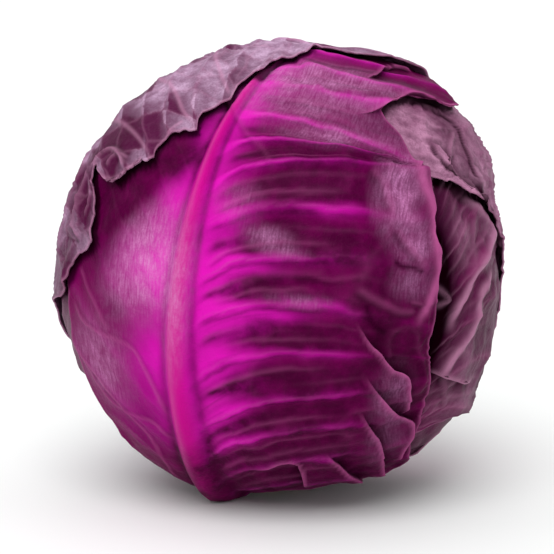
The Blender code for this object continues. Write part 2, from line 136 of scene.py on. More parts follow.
# Places where the head departs from a ball: longitude, latitude and width in degrees, and the share of
# the radius
BULGES = (
    (20, 76, 36, -0.020),
    (92, 14, 22, -0.030),
    (95, 34, 15, 0.045),
    (-64, -66, 20, 0.055),
    (-102, 49, 15, -0.025),
    (88, -50, 24, 0.120),
    (-88, -34, 26, 0.035),
)

# The camera stands where the photograph was taken from. The lens is set for a ball of the head's radius
# at the framing distance, and the camera stands back from it because the leaves reach past that ball.
CAMERA_ELEVATION = math.radians(10)
CAMERA_DISTANCE = 0.970
FRAMING_DISTANCE = 0.95
FRAME_PIXELS = 554
PHOTO_HEAD_CENTRE = (281.0, 268.0)
PHOTO_HEAD_PIXELS = 228
SENSOR = 36.0

# Floor size in metres, strength of the white surroundings, and the lights: name, place, spread in degrees
# and power
FLOOR_SIZE = 12
SURROUNDINGS = 0.55
LIGHTS = (
    ("key", (-0.12, -0.75, 1.05), 44, 1.7),
    ("top", (-0.10, 0.05, 1.00), 70, 0.85),
)

# Each leaf repeats the tables of its solid. centre is the middle of its map, in degrees of longitude and
# latitude. depth and tuck put its plain blade under the head's outline, tuck only towards the stalk. rib
# is the midrib's line, right and left are the margins, and veins are where the side veins start.
# rise_right and rise_left say how a side vein runs from each place: how far it curls up beside the midrib
# (bend is the curl's width), its slope and its droop. mesh is rows along the midrib and columns left and
# right of it, and the rows lie closest between the two close_rows. A fold is its points, the side on top
# and its height. A ridge is its points, half width and height; a hollow's height is below 0.
LEAVES = (
    dict(
        name="side_leaf", centre=(92, -8), depth=3.6, tuck=13, bend=14, rib_height=2.4, vein_height=0.8,
        rib=((-115, 0), (0, 4), (92, 0)),
        right=((-115, 34), (-95, 56), (-60, 75), (-20, 80), (30, 70), (60, 50), (84, 20), (92, 5)),
        left=((-115, 34), (-95, 56), (-60, 75), (-20, 80), (30, 70), (60, 50), (84, 20), (92, 5)),
        rise_right=((-115, 5, 0.2, 0), (-70, 14, 0.5, 0), (92, 8, 0.4, 0)),
        rise_left=((-115, 5, 0.2, 0), (-70, 14, 0.5, 0), (92, 8, 0.4, 0)),
        veins=(-96, -78, -60, -41, -22, -2, 19, 42, 66), mesh=(120, 40, 40),
        close_rows=(-115, 92), folds=(), ridges=(),
    ),
    dict(
        name="back_leaf", centre=(177, 0), depth=3.0, tuck=11, bend=16, rib_height=3.4, vein_height=1.1,
        rib=((-119, 2), (-60, -4), (20, -3), (122, 4)),
        right=((-119, 38), (-100, 70), (-70, 92), (-30, 100), (20, 98), (60, 80), (90, 52), (114, 20),
               (122, 5)),
        left=((-119, 38), (-100, 70), (-70, 92), (-30, 100), (20, 98), (60, 80), (90, 52), (114, 20),
              (122, 5)),
        rise_right=((-119, 6, 0.2, 0), (-70, 18, 0.45, 0), (0, 18, 0.45, 0), (122, 8, 0.3, 0)),
        rise_left=((-119, 6, 0.2, 0), (-70, 18, 0.45, 0), (0, 18, 0.45, 0), (122, 8, 0.3, 0)),
        veins=(-98, -82, -65, -49, -33, -16, 2, 21, 41, 62, 86), mesh=(180, 50, 50),
        close_rows=(-119, 122), folds=(), ridges=(),
    ),
    dict(
        name="right_leaf", centre=(42, 2), depth=2.6, tuck=8.5, bend=9, rib_height=2.6, vein_height=0.9,
        rib=((-127, 0), (-40, -2), (112, 0)),
        right=((-127, 18), (-100, 12), (-82, 13), (-77, 34), (-73, 62), (-66, 80), (-50, 87), (-20, 88),
               (20, 84), (55, 70), (85, 45), (105, 20), (112, 5)),
        left=((-127, 26), (-100, 46), (-70, 60), (-30, 70), (20, 70), (60, 55), (90, 30), (106, 12),
              (112, 5)),
        rise_right=((-127, 6, 0.1, 0), (-90, 20, 0.0, 0.001), (-72, 24, 0.0, 0.0025),
                    (-40, 20, 0.3, 0.001), (0, 16, 0.5, 0), (60, 10, 0.4, 0), (112, 4, 0.2, 0)),
        rise_left=((-127, 6, 0.2, 0), (-70, 14, 0.5, 0), (112, 6, 0.4, 0)),
        veins=(-104, -80, -73, -56, -38, -20, -2, 17, 38, 62, 88), mesh=(270, 30, 100),
        close_rows=(-92, 48),
        folds=(
            (((2, -33), (13, -35), (27, -39), (41, -42)), LEFT_ON_TOP, 1.6),
        ),
        ridges=(
            (((9, -19), (12, -8), (19, 1), (24, 6), (31, 10), (40, 16), (45, 21), (41, 26), (28, 31),
              (19, 34)), 3.0, 2.2),
            (((11, -38), (12, -33), (17, -25), (25, -18), (26, -11), (28, -4), (35, 1), (45, 5)),
             2.6, 1.6),
            (((-3, 30), (-3, 16), (-3, 2), (-2, -10), (-1, -22), (1, -33)), 7.0, -6.0),
        ),
    ),
    dict(
        name="left_leaf", centre=(-98, 0), depth=1.9, tuck=6, bend=15, rib_height=3.0, vein_height=1.0,
        rib=((-111, -2), (-50, 3), (30, 0), (112, 0)),
        right=((-111, 34), (-95, 56), (-70, 72), (-40, 80), (0, 80), (40, 70), (75, 48), (100, 20),
               (112, 5)),
        left=((-111, 34), (-95, 56), (-70, 74), (-40, 84), (0, 84), (40, 72), (75, 50), (100, 22),
              (112, 5)),
        rise_right=((-111, 5, 0.2, 0), (-60, 16, 0.5, 0), (112, 8, 0.3, 0)),
        rise_left=((-111, 5, 0.2, 0), (-60, 16, 0.5, 0), (112, 8, 0.3, 0)),
        veins=(-92, -75, -58, -41, -23, -4, 15, 36, 58, 84), mesh=(180, 45, 45),
        close_rows=(-111, 112), folds=(), ridges=(),
    ),
    dict(
        name="crown_leaf", centre=(122, 42), depth=1.4, tuck=3.5, bend=14, rib_height=3.6, vein_height=1.2,
        rib=((-188, 0), (-90, -3), (0, 2), (68, 0)),
        right=((-188, 30), (-170, 52), (-140, 72), (-100, 86), (-50, 92), (0, 86), (30, 62), (55, 30),
               (68, 5)),
        left=((-188, 28), (-170, 40), (-140, 44), (-110, 47), (-92, 54), (-79, 65), (-71, 74), (-66, 80),
              (-54, 83), (-48, 85), (-39, 90), (-20, 94), (0, 88), (20, 74), (40, 50), (60, 18), (68, 5)),
        rise_right=((-188, 5, 0.15, 0), (-140, 10, 0.4, 0), (-80, 12, 0.6, 0), (68, 8, 0.5, 0)),
        rise_left=((-188, 5, 0.15, 0), (-140, 10, 0.45, 0), (-80, 10, 0.7, 0), (68, 8, 0.6, 0)),
        veins=(-166, -146, -127, -109, -92, -76, -62, -48, -34, -18, 0, 20, 42), mesh=(290, 100, 40),
        close_rows=(-98, -22),
        folds=(
            (((-68, 32), (-71, 23), (-77, 20), (-79, 11), (-78, 4), (-72, -9)), RIGHT_ON_TOP, 1.6),
        ),
        ridges=(),
    ),
    dict(
        name="front_leaf", centre=(-12, 2), depth=0.8, tuck=0.5, bend=20, rib_height=5.0, vein_height=2.0,
        rib=((-120, -9), (-109, -13), (-95, -16), (-64, -18), (-15, -20), (22, -19), (61, -16),
             (100, -9), (150, 0)),
        right=((-120, 66), (-117, 84), (-112, 91), (-105, 94), (-92, 98), (-38, 99), (2, 97), (22, 90),
               (50, 82), (75, 75), (92, 60), (98, 63), (104, 70), (109, 86), (114, 97), (122, 98),
               (136, 84), (150, 58)),
        left=((-120, 34), (-112, 44), (-105, 49), (-94, 57), (-80, 61), (-30, 62), (10, 62), (40, 58),
              (70, 50), (100, 38), (130, 26), (150, 14)),
        rise_right=((-120, 10, 0.2, 0), (-105, 28, 0.1, 0), (-85, 39, 0, 0), (-67, 35.5, 0, 0),
                    (-17, 25.5, 0, 0.0014), (1, 22, 0, 0.0003), (19, 19, 0, 0), (31, 23, 0, 0),
                    (50, 14, 0, 0.0008), (72, 2, 0, 0.0025), (95, -2, 0, 0.001), (150, -4, 0, 0)),
        rise_left=((-120, 4, 0.25, 0), (-100, 8, 0.5, 0), (-70, 12, 0.8, 0), (30, 14, 0.8, 0),
                   (80, 6, 0.4, 0), (150, 0, 0.1, 0)),
        veins=(-111, -100, -85, -67, -42, -19, -1, 19, 36, 54, 72, 92, 106, 124), mesh=(300, 50, 106),
        close_rows=(-120, 130),
        folds=(
            (((46, -3), (52, -13), (55, -16), (62, -24), (69, -28), (71, -35), (73, -49)), RIGHT_ON_TOP, 4.6),
            (((50, -23), (57, -34), (65, -44), (73, -51), (76, -54), (74, -66), (72, -80)),
             RIGHT_ON_TOP, 5.0),
            (((50, -39), (56, -52), (60, -59), (64, -76), (66, -90)), RIGHT_ON_TOP, 4.6),
            (((38, -62), (42, -68), (47, -76), (57, -90)), RIGHT_ON_TOP, 4.0),
            (((34, 78), (45, 83), (51, 88), (57, 96), (62, 100), (69, 102), (76, 101), (83, 102),
              (96, 107)), LEFT_ON_TOP, 4.2),
            (((38, 102), (41, 105), (46, 114), (52, 128), (60, 132), (67, 131)), LEFT_ON_TOP, 3.4),
            (((4, -78), (12, -76), (20, -70), (26, -70), (29, -78), (31, -96)), LEFT_ON_TOP, 3.0),
        ),
        ridges=(
            (((70, -8), (77, 10), (76, 24), (70, 44), (60, 64)), 7.0, 1.8),
        ),
    ),
    dict(
        name="cap_leaf", centre=(-150, 48), depth=0.0, tuck=0, bend=12, rib_height=4.0, vein_height=1.3,
        rib=((-187, 0), (-100, 4), (0, 0), (75, 0)),
        right=((-187, 28), (-160, 56), (-135, 76), (-115, 98), (-102, 118), (-93, 123), (-86, 125),
               (-77, 123), (-70, 124), (-64, 126), (-57, 125), (-53, 119), (-48, 114), (-44, 108),
               (-42, 101), (-40, 96), (-36, 96), (-33, 100), (-30, 106), (-28.5, 108.5), (-25, 106.5),
               (-19, 104), (-14, 101.5), (-6, 100.5), (-1.5, 98.5), (-0.5, 96), (2, 93), (6, 90),
               (12, 86.5), (17, 84.5), (24, 82), (25.8, 81), (26.5, 77), (29, 72.5), (36, 67),
               (42, 63.5), (44.3, 62), (44.8, 55), (46, 50), (50, 45), (55, 41), (57, 37), (58, 30),
               (62, 21), (69, 13), (75, 4)),
        left=((-187, 30), (-170, 60), (-140, 90), (-100, 108), (-60, 108), (-20, 98), (10, 82), (35, 58),
              (55, 34), (67, 16), (75, 4)),
        rise_right=((-187, 6, 0.15, 0), (-140, 10, 0.35, 0), (-60, 10, 0.5, 0), (75, 10, 0.5, 0)),
        rise_left=((-187, 6, 0.15, 0), (-140, 10, 0.35, 0), (-60, 10, 0.5, 0), (75, 10, 0.5, 0)),
        veins=(-165, -144, -124, -105, -87, -70, -58, -45, -33, -20, -6, 9, 24, 40, 56),
        mesh=(300, 36, 116), close_rows=(-95, 75),
        folds=(
            (((100, 22), (104, 28), (107, 36), (104, 46), (99, 54)), LEFT_ON_TOP, 1.6),
        ),
        ridges=(),
    ),
)

# Fine creases that only the sheet has: points on the leaf's map, half width, height of the ridge, height
# of the step up to its left, how pale the painted highlight on its crest is, how dark the painted shadow in
# the slit to its right is
CREASES = {
    "front_leaf": (
        (((-31, -105), (-38, -73), (-48, -60), (-58, -51), (-65, -44), (-72, -38), (-78, -32)),
         0.9, 0.5, 0.0, 0.6, 0.2),
        (((-26, -69), (-34, -60), (-53, -59), (-63, -52), (-77, -32)), 0.9, 0.5, 0.0, 0.5, 0.2),
        (((-26, -56), (-29, -45), (-35, -33), (-41, -26), (-55, -24), (-67, -22), (-77, -14)),
         0.9, 0.45, 0.0, 0.5, 0.2),
        (((-52, -22), (-57, -15), (-66, -6), (-72, 1)), 0.9, 0.4, 0.0, 0.35, 0.1),
        (((1, 4), (10, 10), (23, 12), (34, 13)), 1.6, 0.6, 0.0, 0.1, 0.2),
        (((45, 55), (51, 50), (54, 42), (56, 37)), 1.5, 0.8, 0.6, 0.25, 0.3),
        (((58, 33), (62, 28), (67, 22), (72, 17)), 1.5, 0.8, 0.6, 0.25, 0.4),
        (((44, 9), (47, 7), (53, 4), (58, 2), (63, 0), (70, 0)), 1.6, 1.0, 0.5, 0.30, 0.4),
        (((50, 4), (52, -2), (56, -6), (60, -8)), 1.4, -0.8, 0.5, 0.0, 0.6),
        (((58, 21), (62, 19), (66, 19), (72, 17)), 1.2, -0.8, -0.5, 0.0, 0.7),
        (((-45, 103), (-20, 80), (-4, 62), (3, 57), (7, 51), (11, 49)), 1.1, 0.4, 0.0, 0.15, 0.2),
        (((20, 94), (34, 91), (48, 94)), 1.4, 0.6, 0.3, 0.1, 0.2),
        (((66, 4), (74, 3), (84, 6)), 1.0, 0.6, 0.3, 0.3, 0.4),
    ),
    "cap_leaf": (
        (((10, 61), (19, 61), (29, 49), (49, 70), (61, 85)), 1.0, 0.3, 0.9, 0.7, 0.1),
        (((36, 14), (44, 24), (62, 52), (75, 67), (81, 78)), 1.0, 0.3, 0.9, 0.7, 0.1),
        (((58, 2), (66, 12), (87, 44), (98, 57)), 1.0, 0.3, 0.8, 0.6, 0.1),
        (((79, 69), (88, 64)), 0.8, 0.3, 0.0, 0.6, 0.0),
        (((104, 44), (99, 41), (95, 37), (91, 29), (93, 23), (99, 20)), 1.1, 1.6, 0.5, 0.7, 0.5),
        (((99, 45), (96, 38), (97, 33), (101, 31)), 0.9, 1.0, 0.4, 0.5, 0.4),
        (((70, -4), (85, 0), (93, -7), (102, -16), (109, -26)), 1.4, 1.6, 0.8, 0.5, 0.5),
        (((90, 24), (100, 12), (107, 7), (113, 2), (124, 5)), 1.3, 1.5, 0.8, 0.5, 0.5),
        (((104, 12), (110, -4), (117, -16)), 1.1, 1.2, 0.5, 0.4, 0.4),
        (((96, 24), (106, 20), (116, 12)), 1.0, 0.9, 0.4, 0.4, 0.4),
    ),
    "crown_leaf": (
        (((-68, 32), (-73, 28), (-77, 20), (-76, 5), (-74, -9)), 1.0, 0.6, 1.2, 0.3, 0.9),
        (((-50, 14), (-61, 18), (-70, 20), (-75, 22)), 1.2, 1.3, 0.4, 0.45, 0.3),
        (((-46, 33), (-45, 27), (-43, 18), (-45, 11), (-53, 8), (-60, 5), (-66, -3)),
         1.0, 0.5, 1.4, 0.3, 0.9),
        (((-68, 50), (-69, 42), (-68, 33), (-62, 23)), 1.4, 0.8, 0.0, 0.3, 0.2),
        (((-76, 47), (-79, 39), (-77, 32), (-76, 24)), 1.4, 0.8, 0.0, 0.3, 0.2),
        (((-54, 42), (-58, 34), (-57, 26), (-52, 20)), 1.1, 0.9, 0.3, 0.3, 0.3),
    ),
    "right_leaf": (
        (((-5, 40), (0, 42), (5, 43), (6, 41)), 1.1, 1.4, 0.4, 0.6, 0.5),
        (((5, 40), (1, 36), (-4, 32), (-7, 28), (-4, 26)), 1.1, 1.6, 0.4, 0.5, 0.6),
        (((-2, 0), (2, 0), (7, -4), (4, -6), (0, -7)), 1.0, 2.0, 0.3, 0.4, 0.5),
        (((26, 26), (24, 14), (20, 6)), 1.5, 0.6, 0.0, 0.2, 0.1),
        (((12, -34), (20, -44), (26, -52)), 1.4, 0.7, 0.3, 0.3, 0.3),
    ),
    "left_leaf": (),
    "back_leaf": (),
    "side_leaf": (),
}

# Patches painted on a leaf: the mask, the middle and half sizes on the map in millimetres, the strength
# Shade patches paint shade and the near-black ones painted shadow; glow patches partly paint highlights, and
# some bloom patches on the front leaf a sheen highlight
PATCHES = {
    "front_leaf": (
        # A painted satin sheen highlight on the front leaf's left half
        ("bloom", -35, 12, 14, 20, 0.90),
        ("bloom", -44, -2, 12, 10, 0.40),
        ("glow", -40, 12, 16, 20, 0.25),
        ("shade", -54, 34, 14, 13, 1.60),
        ("bloom", -54, 36, 14, 12, -0.60),
        ("shade", -60, 10, 9, 12, 0.80),
        ("shade", -36, 49, 11, 8, 1.50),
        ("shade", -24, 53, 6, 5, 0.60),
        ("glow", -37, 50, 13, 9, -0.80),
        ("glow", -57, 34, 14, 13, -0.60),
        ("shade", -26, 70, 8, 8, 0.70),
        ("shade", -50, -12, 6, 5, 0.50),
        ("glow", -30, 40, 8, 14, 0.45),
        ("glow", -30, 6, 14, 9, 0.60),
        ("glow", -32, -29, 12, 14, 0.60),
        ("bloom", -60, -38, 16, 20, 0.70),
        ("glow", -40, -60, 16, 16, 0.40),
        ("shade", -40, -62, 16, 12, 0.35),
        ("glow", -6, 14, 9, 22, 0.65),
        ("glow", -2, -30, 12, 34, 0.70),
        ("bloom", 14, 98, 46, 14, 0.78),
        ("bloom", 22, 78, 40, 9, 0.36),
        ("bloom", -21, -8, 4.5, 26, 0.60),
        ("shade", -17, -82, 9, 16, 0.60),
        ("shade", 26, 58, 26, 6, 0.75),
        ("bloom", 30, 66, 20, 4, 0.55),
        ("shade", 30, 46, 20, 7, 0.85),
        ("shade", 12, 34, 12, 7, 0.60),
        ("bloom", -2, 36, 9, 8, 0.30),
        ("bloom", 10, 24, 8, 3.5, 0.60),
        ("bloom", 17, 19, 8, 2.5, 0.45),
        ("glow", 4, -9, 10, 2.6, 0.90),
        ("glow", 15, -4, 11, 2.6, 1.00),
        ("glow", 27, 2, 10, 2.2, 0.60),
        ("glow", 6, 12, 12, 2.4, 0.60),
        ("shade", 12, 5, 11, 3.2, 0.80),
        ("shade", 26, -12, 18, 4, 0.50),
        ("shade", 20, 22, 30, 6, 0.55),
        ("shade", 37, 22, 18, 7, 0.80),
        ("shade", 28, 2, 20, 4, 0.60),
        ("bloom", 24, 2, 13, 3, 0.35),
        ("shade", 30, -12, 18, 5, 0.60),
        ("shade", 26, -32, 22, 7, 0.80),
        ("shade", 26, -50, 22, 6, 0.60),
        ("bloom", 57, 48, 8, 15, 1.00),
        ("bloom", 66, 26, 7, 10, 0.75),
        ("shade", 60, 26, 12, 8, 0.60),
        ("shade", 70, 44, 3, 16, 0.60),
        ("shade", 76, 20, 4, 22, 0.60),
        ("bloom", 67, 10, 9, 6, 0.35),
        ("shade", 56, 2, 10, 10, 0.70),
        ("shade", 60, -22, 15, 16, 0.65),
        ("bloom", 64, -34, 9, 12, 0.45),
        ("bloom", 64, -58, 9, 16, 0.40),
        ("shade", 45, -70, 28, 26, 0.75),
        ("shade", 8, -84, 30, 16, 0.55),
        ("shade", -16, -106, 12, 10, 0.55),
    ),
    "cap_leaf": (
        ("bloom", 36, 67, 20, 16, 0.55),
        ("bloom", 55, 60, 14, 14, 0.45),
        ("bloom", 9, 74, 18, 16, 0.35),
        ("bloom", 86, 36, 13, 13, -0.75),
        ("shade", 86, 36, 13, 13, 0.55),
        ("bloom", 108, 6, 18, 34, -0.70),
        ("shade", 108, 6, 18, 34, 0.55),
    ),
    "crown_leaf": (
        ("shade", -58, 7, 10, 12, 0.60),
        ("shade", -50, 14, 12, 8, 0.40),
        ("bloom", -62, 37, 14, 12, 0.45),
        ("painted_shadow", -72, -8, 6, 14, 0.50),
    ),
    "right_leaf": (
        ("painted_shadow", 1, -6, 8, 34, 1.90),
        ("shade", 3, -8, 15, 36, 0.90),
        ("shade", 10, 38, 16, 9, 0.80),
        ("painted_shadow", 8, 42, 14, 4, 0.80),
        ("bloom", 17, 18, 7, 8, 0.35),
        ("bloom", 25, -28, 4, 12, 0.30),
        ("bloom", 41, 20, 6, 10, 0.30),
        ("glow", 26, 8, 12, 16, 0.60),
        ("glow", 24, -45, 16, 6, 0.45),
        ("shade", 34, -8, 8, 12, 0.50),
        ("bloom", 36, -48, 16, 10, 0.35),
        ("glow", 14, -60, 16, 10, 0.45),
    ),
    "left_leaf": (
        ("shade", 42, -15, 12, 30, 0.50),
    ),
    "back_leaf": (),
    "side_leaf": (
        ("shade", 0, -50, 60, 40, 0.50),
        ("glow", -20, -40, 30, 20, 0.30),
    ),
}

# How strongly the side veins show on each leaf: glow on crests, partly a painted highlight, painted shade in
# hollows, wax bloom all over, panels between the finer veins, and crinkling of an old dry blade
TINTS = {
    "front_leaf": dict(glow=0.80, shade=0.90, bloom=0.0, panels=0.04, crinkle=0.30),
    "cap_leaf": dict(glow=0.10, shade=0.25, bloom=0.70, panels=0.50, crinkle=0.45),
    "crown_leaf": dict(glow=0.20, shade=0.35, bloom=1.0, panels=0.25, crinkle=0.9),
    "right_leaf": dict(glow=0.50, shade=0.65, bloom=0.14, panels=0.15, crinkle=0.8),
    "left_leaf": dict(glow=0.15, shade=0.50, bloom=0.22, panels=0.30, crinkle=0.35),
    "back_leaf": dict(glow=0.35, shade=0.50, bloom=0.30, panels=0.30, crinkle=0.3),
    "side_leaf": dict(glow=0.20, shade=0.60, bloom=0.05, panels=0.20, crinkle=0.35),
}

# The two kinds of blade: how the left half's veins stand up and are coloured beside the right half's, how
# high the fine lines and how strong the cracks are, gloss, and the size and strength of the wax's streaks
YOUNG_BLADE = dict(left_relief=0.15, left_colour=0.12, striae=0.10, cracked=0.0, gloss=0.025,
                   streak_size=(0.8, 5.0), least_streak=0.35)
OLD_BLADE = dict(left_relief=0.5, left_colour=0.7, striae=0.05, cracked=1.0, gloss=0.06,
                 streak_size=(5.0, 9.0), least_streak=0.55)

# Sizes of the patterns in a leaf's finish, in millimetres: cloudy tone, grain, the net of fine veins and
# how far that net wanders
CLOUD_SIZE, GRAIN_SIZE, NET_SIZE, NET_WARP = 7.0, 0.7, 3.6, 9.0

# The height table: for each degree of latitude and longitude, the radius taken up by what is laid there.
# It is read blurred, and a sheet is entered with FINER times as many points as it has.
TABLE_STEP = 1.0
TABLE_ROWS = int(180 / TABLE_STEP)
TABLE_COLUMNS = int(360 / TABLE_STEP)
POLAR_ROWS = 5
TABLE_BLURS = 4
FINER = 4
laid = np.zeros((TABLE_ROWS, TABLE_COLUMNS))


def linear(hex_colour):
    """Linear colour of an sRGB hex value."""
    parts = [int(hex_colour[i:i + 2], 16) / 255 for i in (1, 3, 5)]
    return [p / 12.92 if p <= 0.04045 else ((p + 0.055) / 1.055) ** 2.4 for p in parts]


class CabbageSizes(bpy.types.PropertyGroup):
    """Sizes a grower's eye would judge: how thick the blades are and how boldly they are creased."""

    blade: FloatProperty(
        name="Blade thickness", description="Thickness of a leaf away from its veins",
        default=0.0007, min=0.0003, max=0.002, unit="LENGTH")
    gap: FloatProperty(
        name="Gap between leaves", description="Room left under each leaf",
        default=0.0007, min=0.0001, max=0.002, unit="LENGTH")
    crumple: FloatProperty(
        name="Crumple", description="Height of the small dents all over a leaf",
        default=0.00030, min=0.0, max=0.002, unit="LENGTH")
    fold: FloatProperty(
        name="Fold height", description="Height of pleats and lips, as a share of the drawn ones",
        default=1.0, min=0.0, max=2.0, subtype="FACTOR")
    overhang: FloatProperty(
        name="Fold overhang", description="How far a pleat's lip leans over what lies under it",
        default=0.0013, min=0.0, max=0.003, unit="LENGTH")


class CabbageColours(bpy.types.PropertyGroup):
    """Colours of the plant's parts."""

    # Vivid magenta is the front leaf's own colour beside its midrib; on its vein crests it is a painted
    # highlight
    vivid: FloatVectorProperty(
        name="Vivid magenta", description="Around the front leaf's midrib and on its veins",
        default=linear("#d414ac"), size=3, min=0.0, max=1.0, subtype="COLOR")
    # Also laid on the older leaves' vein crests as a painted highlight
    body: FloatVectorProperty(
        name="Magenta purple", description="The front leaf's blade, and the older leaves' veins",
        default=linear("#740050"), size=3, min=0.0, max=1.0, subtype="COLOR")
    # Painted shade: hollows between the veins, the veins' feet, the midrib's grooves and parts towards the
    # ground; also the darker random clouds of tone
    hollow: FloatVectorProperty(
        name="Dark hollow", description="Hollows between the veins and under folds",
        default=linear("#40002a"), size=3, min=0.0, max=1.0, subtype="COLOR")
    # Wax bloom; some of its patches on the front leaf paint a satin sheen highlight
    bloom: FloatVectorProperty(
        name="Wax bloom", description="The pale wax on the front leaf",
        default=linear("#d084bc"), size=3, min=0.0, max=1.0, subtype="COLOR")
    outer: FloatVectorProperty(
        name="Mauve purple", description="The older outer leaves",
        default=linear("#561240"), size=3, min=0.0, max=1.0, subtype="COLOR")
    # Also the painted highlight on the front leaf's fold lips, ridge and vein crests and midrib crown
    vein: FloatVectorProperty(
        name="Fine vein pink", description="Fine veins and margin of the front leaf",
        default=linear("#c05c98"), size=3, min=0.0, max=1.0, subtype="COLOR")
    old_bloom: FloatVectorProperty(
        name="Old wax bloom", description="The greyer wax on the cap leaf",
        default=linear("#c8a4c4"), size=3, min=0.0, max=1.0, subtype="COLOR")
    rib: FloatVectorProperty(
        name="Midrib", description="The front leaf's thick midrib",
        default=linear("#c40b88"), size=3, min=0.0, max=1.0, subtype="COLOR")
    old_rib: FloatVectorProperty(
        name="Old midrib", description="Midribs of the older leaves",
        default=linear("#a8648c"), size=3, min=0.0, max=1.0, subtype="COLOR")
    # Also the painted highlight on the older leaves' fold lips, ridge crests and crinkles
    old_vein: FloatVectorProperty(
        name="Old fine vein", description="Fine veins and margins of the older leaves",
        default=linear("#c888ac"), size=3, min=0.0, max=1.0, subtype="COLOR")
    outer_bloom: FloatVectorProperty(
        name="Outer wax bloom", description="The wax on the older leaves under the cap leaf",
        default=linear("#c88eb0"), size=3, min=0.0, max=1.0, subtype="COLOR")
    # Painted shadow: near black in the slits under fold lips and creases, along the foot of each later leaf's
    # margin, in cracks and in cavities
    painted_shadow: FloatVectorProperty(
        name="Deep slit", description="What shows in the slits under lips and margins",
        default=linear("#100006"), size=3, min=0.0, max=1.0, subtype="COLOR")
    stalk: FloatVectorProperty(
        name="Stalk", description="The cut stalk",
        default=linear("#c9b8a0"), size=3, min=0.0, max=1.0, subtype="COLOR")


def sizes():
    """The sizes set in the sidebar."""
    return bpy.context.scene.cabbage_sizes


def colours():
    """The colours set in the sidebar."""
    return bpy.context.scene.cabbage_colours


def direction(longitude, latitude):
    """Unit vector from the head's centre, angles in degrees."""
    lon, lat = math.radians(longitude), math.radians(latitude)
    return np.array([math.sin(lon) * math.cos(lat), -math.cos(lon) * math.cos(lat), math.sin(lat)])


def leaf_axes(centre):
    """The map's right, up (away from the stem) and outward axes for a leaf."""
    out = direction(*centre)
    up = -(STEM_DIRECTION - (STEM_DIRECTION @ out) * out)
    up /= np.linalg.norm(up)
    return np.cross(up, out), up, out


def curve(points, at):
    """Smooth line through (place, value) points, held flat past its ends."""
    table = np.array(points, float)
    places, values = table[:, 0], table[:, 1]
    slopes = np.gradient(values, places)
    at = np.clip(at, places[0], places[-1])
    i = np.clip(np.searchsorted(places, at) - 1, 0, len(places) - 2)
    step = places[i + 1] - places[i]
    t = (at - places[i]) / step
    return ((2 * t**3 - 3 * t**2 + 1) * values[i] + (t**3 - 2 * t**2 + t) * step * slopes[i]
            + (3 * t**2 - 2 * t**3) * values[i + 1] + (t**3 - t**2) * step * slopes[i + 1])


def blade_point(leaf, a, b):
    """Map position of the point a out from the midrib on the vein line b."""
    out = np.abs(a)
    places = []
    for rises in (leaf["rise_right"], leaf["rise_left"]):
        curl, slope, droop = (curve([(row[0], row[n]) for row in rises], b) for n in (1, 2, 3))
        places.append(b + curl * (1 - np.exp(-out / leaf["bend"])) + slope * out - droop * out**2)
    return curve(leaf["rib"], b) + a, np.where(a >= 0, *places)


def blade_place(leaf, x, y, b):
    """The reverse: midrib distance and vein line of a map point, stepped from a near guess of b."""
    for _ in range(25):
        a = x - curve(leaf["rib"], b)
        b = b + 0.6 * (y - blade_point(leaf, a, b)[1])
    return x - curve(leaf["rib"], b), b


def on_head(axes, x, y):
    """Unit directions of map points: the map keeps true distance and bearing from its centre."""
    across, up, out = axes
    reach = np.hypot(x, y)
    angle = reach / HEAD_RADIUS
    share = np.where(reach > 1e-6, np.sin(angle) / np.maximum(reach, 1e-6), 1 / HEAD_RADIUS)
    return (np.cos(angle)[..., None] * out + (share * x)[..., None] * across
            + (share * y)[..., None] * up)


def outline_radius(rays):
    """Radius of the whole head along each ray."""
    swell = np.zeros(rays.shape[:-1])
    for longitude, latitude, width, share in BULGES:
        away = np.degrees(np.arccos(np.clip(rays @ direction(longitude, latitude), -1, 1)))
        swell += share * np.exp(-(away / width) ** 2)
    return HEAD_RADIUS * (1 + swell)


def depth_under(leaf, rays):
    """Depth of the plain blade under the head's outline: inner leaves tuck in towards the stem."""
    away = np.degrees(np.arccos(np.clip(rays @ STEM_DIRECTION, -1, 1)))
    return leaf["depth"] + leaf["tuck"] * np.exp(-(away / TUCK_WIDTH) ** 2)


def ground_limit(rays):
    """Largest radius that stays above the ground."""
    down = np.maximum(-rays[..., 2], 0.05)
    return (HEAD_CENTRE[2] - GROUND_CLEARANCE) / down


def ease(value):
    """Smooth step from 0 to 1."""
    value = np.clip(value, 0, 1)
    return value * value * (3 - 2 * value)


def rough(seed, *places):
    """Smooth random field from -1 to 1, with one swell per unit of each place."""
    size = 32
    table = np.random.default_rng(seed).uniform(-1, 1, (size,) * len(places))
    corners = [np.floor(place).astype(int) for place in places]
    shares = [ease(place - corner) for place, corner in zip(places, corners)]
    total = np.zeros(np.shape(places[0]))
    for steps in itertools.product((0, 1), repeat=len(places)):
        weight = 1
        for step, share in zip(steps, shares):
            weight = weight * (share if step else 1 - share)
        total = total + weight * table[tuple((c + s) % size for c, s in zip(corners, steps))]
    return total


def panels(seed, u, v):
    """Cells of a net: nearness to the net's lines (1 on a line) and a random number for each cell."""
    size = 64
    random = np.random.default_rng(seed)
    jitter = random.uniform(0.15, 0.85, (size, size, 2))
    marks = random.uniform(0, 1, (size, size))
    cu, cv = np.floor(u).astype(int), np.floor(v).astype(int)
    first = np.full(np.shape(u), 9.0)
    second = np.full(np.shape(u), 9.0)
    mark = np.zeros(np.shape(u))
    for du, dv in itertools.product((-1, 0, 1), repeat=2):
        i, j = (cu + du) % size, (cv + dv) % size
        away = np.hypot(cu + du + jitter[i, j, 0] - u, cv + dv + jitter[i, j, 1] - v)
        second = np.where(away < first, first, np.minimum(second, away))
        mark = np.where(away < first, marks[i, j], mark)
        first = np.minimum(first, away)
    return np.exp(-((second - first) / 0.10) ** 2), mark


